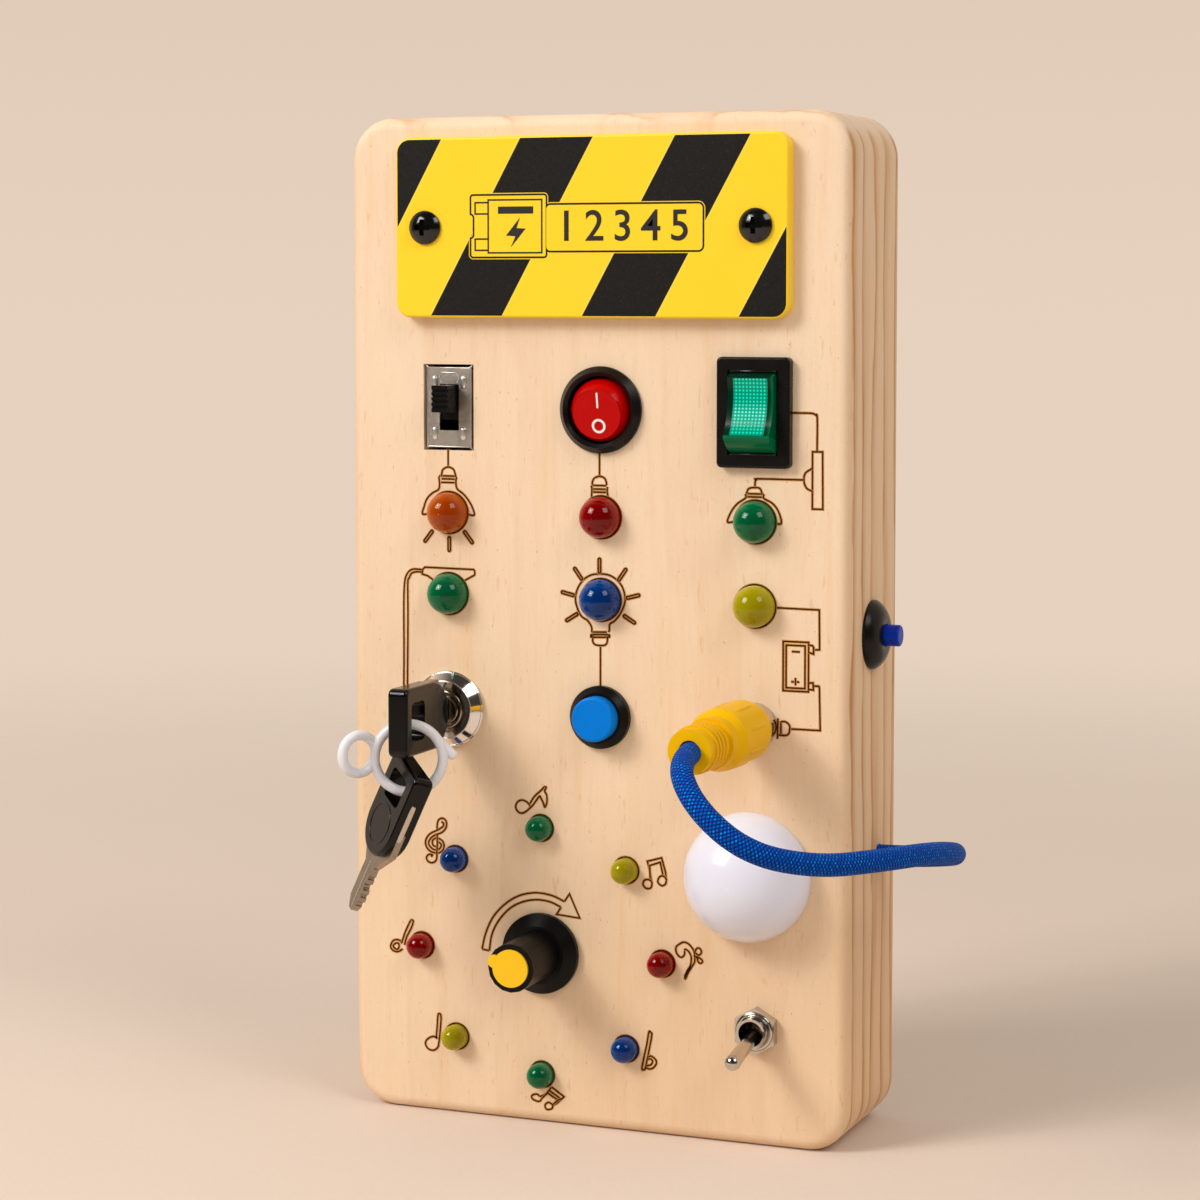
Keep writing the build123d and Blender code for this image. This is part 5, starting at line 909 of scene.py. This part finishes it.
loop = (LOOP_PLACE[0] + r * np.cos(a), LOOP_PLACE[1] + r * np.sin(a), MARK_LIFT)
loop = np.stack(np.broadcast_arrays(*loop), -1)
on_cap = {"origin": cap_middle, "up": ROUND_UP, "body": "round_rocker"}
detail("rocker_rim", [hoop(4.93, 0.07, -0.02)], rocker_red, "red_lens", **on_cap)
detail("rocker_marks", [(bar, grid_faces(21, 5)[:, ::-1]), (loop, grid_faces(4, 48, wrap_columns=True))],
       mark_white, "red_lens", **on_cap, tidy=False)

# %% [markdown]
# ## Small parts
# The slide switch's sheet case is held by four tabs bent out of the sheet, and has a bright edge: tabs, edge
# and a stamped outline are a paler steel than the case, a painted highlight. The lock has a fine bright lip
# on its flange and a raised ring on its plug, the toggle a turned washer face on its nut, the square rocker's
# bezel two fine edges, and the plug eight raised grips. The spare key has a raised ring moulded on its bow,
# metal liners along its sides and a rib pressed along its blade, the rib in the liners' paler steel as a
# painted highlight. A bump could hint at them, but it has no edge that catches the light, so each is a small
# surface of its own: rounded bars, turned rings, and tubes for wires and edges.

# %% Slide switch, lock and toggle
WIRE = 0.11
case_middle, lock_middle = (LEFT, FACE, SWITCHES), (LEFT, FACE, LOCK_UP)
tabs = [rounded((side * 3.1, up, -0.30), (0.62, 1.3, 0.34), 0.7, 16, 9)
        for side in (-1, 1) for up in (5.0, -5.2)]
stamp = read("-1.7,4.9 -2.2,5.6 -1.6,6.9 1.6,6.9 2.2,5.6 1.7,4.9")
case_edge = read("-4.4,-7.8 4.4,-7.8 4.7,-7.5 4.7,7.5 4.4,7.8 -4.4,7.8 -4.7,7.5 -4.7,-7.5 -4.4,-7.8")
wires = [np.insert(flat, 2, out, 1) for flat, out in ((stamp, -0.3), (smooth_line(case_edge, 2), -0.33))]
wires = [(tube(wire, WIRE, 8)[0], grid_faces(len(wire), 9)) for wire in wires]
detail("case_tabs", tabs + wires, tab_steel_painted_highlight, "steel", case_middle)
detail("lock_lips", [hoop(5.70, 0.16, 2.58), hoop(7.35, 0.14, 0.9)], chrome, "nickel", lock_middle)
raised = turned([(3.15, 1.95), (3.25, 2.42), (3.45, 2.5), (3.75, 2.42), (3.95, 1.95)])
inner = turned([(2.2, 1.95), (2.25, 2.14), (2.75, 2.14), (2.8, 1.95)])
detail("lock_ring", [raised, inner], nickel_painted_reflection, "nickel", lock_middle, body="lock_core")
washer = turned([(2.98, 1.95), (2.98, 2.2), (3.5, 2.2), (3.9, 1.95)])
detail("toggle_washer_face", [washer], nickel, "nickel", TOGGLE)

# %% Plug grips, spare key and bezel edges
grip, grip_faces = rounded((5.75, 0, 14.0), (0.32, 0.55, 4.2), 0.6, 12, 9)
grips = [(laid(grip, (0, 0, 0), (cos(a), sin(a), 0), (-sin(a), cos(a), 0)), grip_faces)
         for a in np.arange(8) * pi / 4 + 0.35]
detail("plug_grips", grips, yellow_plastic, "yellow_plastic", (RIGHT, FACE, LOCK_UP), body="tether_plug")
spare_key = {"origin": (-38.6294, -35.7133, 53.632), "across": np.array((0.42262, 0, 0.90631)),
             "up": np.array((-0.67352, 0.66913, 0.31407)), "body": "spare_key"}
bow_ring, ring_faces = hoop(4.1, 0.14, 2.08)
detail("spare_key_bow_ring", [(bow_ring + (8.9, 0, 0), ring_faces)], bow_black, "black_plastic", **spare_key)
liners = [rounded((12.4, side * 6.60, 0.2), (4.0, 0.18, 0.55), 0.3) for side in (-1, 1)]
# painted highlight: the rib pressed in the blade is given the liners' paler steel
glint_rib = rounded((-4.3, -0.2, 0.68), (5.2, 0.22, 0.16), 0.5)
detail("spare_key_trim", [*liners, glint_rib], trim_steel, "steel", **spare_key)
edge_lines = [np.array([(x, side * 7.93, 1.93) for x in (-4.7, -4.6, 4.6, 4.7)]) for side in (-1, 1)]
edge_thick = np.array((0.03, 0.18, 0.18, 0.03))
edges = [(tube(line, edge_thick, 12)[0], grid_faces(4, 13)) for line in edge_lines]
detail("bezel_edges", edges, gloss_black, "black_plastic", (RIGHT, FACE, SWITCHES))

# %% [markdown]
# ## Inside and back
# The cover is plywood. The block's own finish would do, but a veneer is peeled from the log and shows no
# rings, so it has its own fibre and bands. What is inside shows only when the board is opened, and gets
# plain moulded finishes.

# %% Inside and rear pieces
ply = Finish("rear plywood", Roughness=0.7)
fibre = ply.noise(ply.place((2.0, 2.0, 0.06)), 1.0, 4.0, 0.6)
bands = ply.noise(ply.place((0.06, 0.06, 0.008)), 1.0, 2.0)
grain = (fibre * 0.5 + bands * 0.5).step(0.3, 0.75)
ply.set(Base_Color=ply.mix(grain, (0.74, 0.53, 0.33), (0.58, 0.37, 0.20))).bump(fibre, 0.15, 0.0002)
dress(ply, "rear_cover")
screw_dark = metal("black oxide screw", (0.10, 0.095, 0.09), 0.35)
dress(screw_dark, "rear_screws")
board_green = moulded("green circuit board", (0.01, 0.16, 0.05), 0.4)
dress(board_green, "ring_board", "dome_board")
chip_white = moulded("white chip", (0.75, 0.74, 0.70), 0.4)
dress(chip_white, "dome_chip")
cell_wrap = moulded("cell jacket", (0.35, 0.34, 0.33), 0.3)
dress(cell_wrap, "batteries")
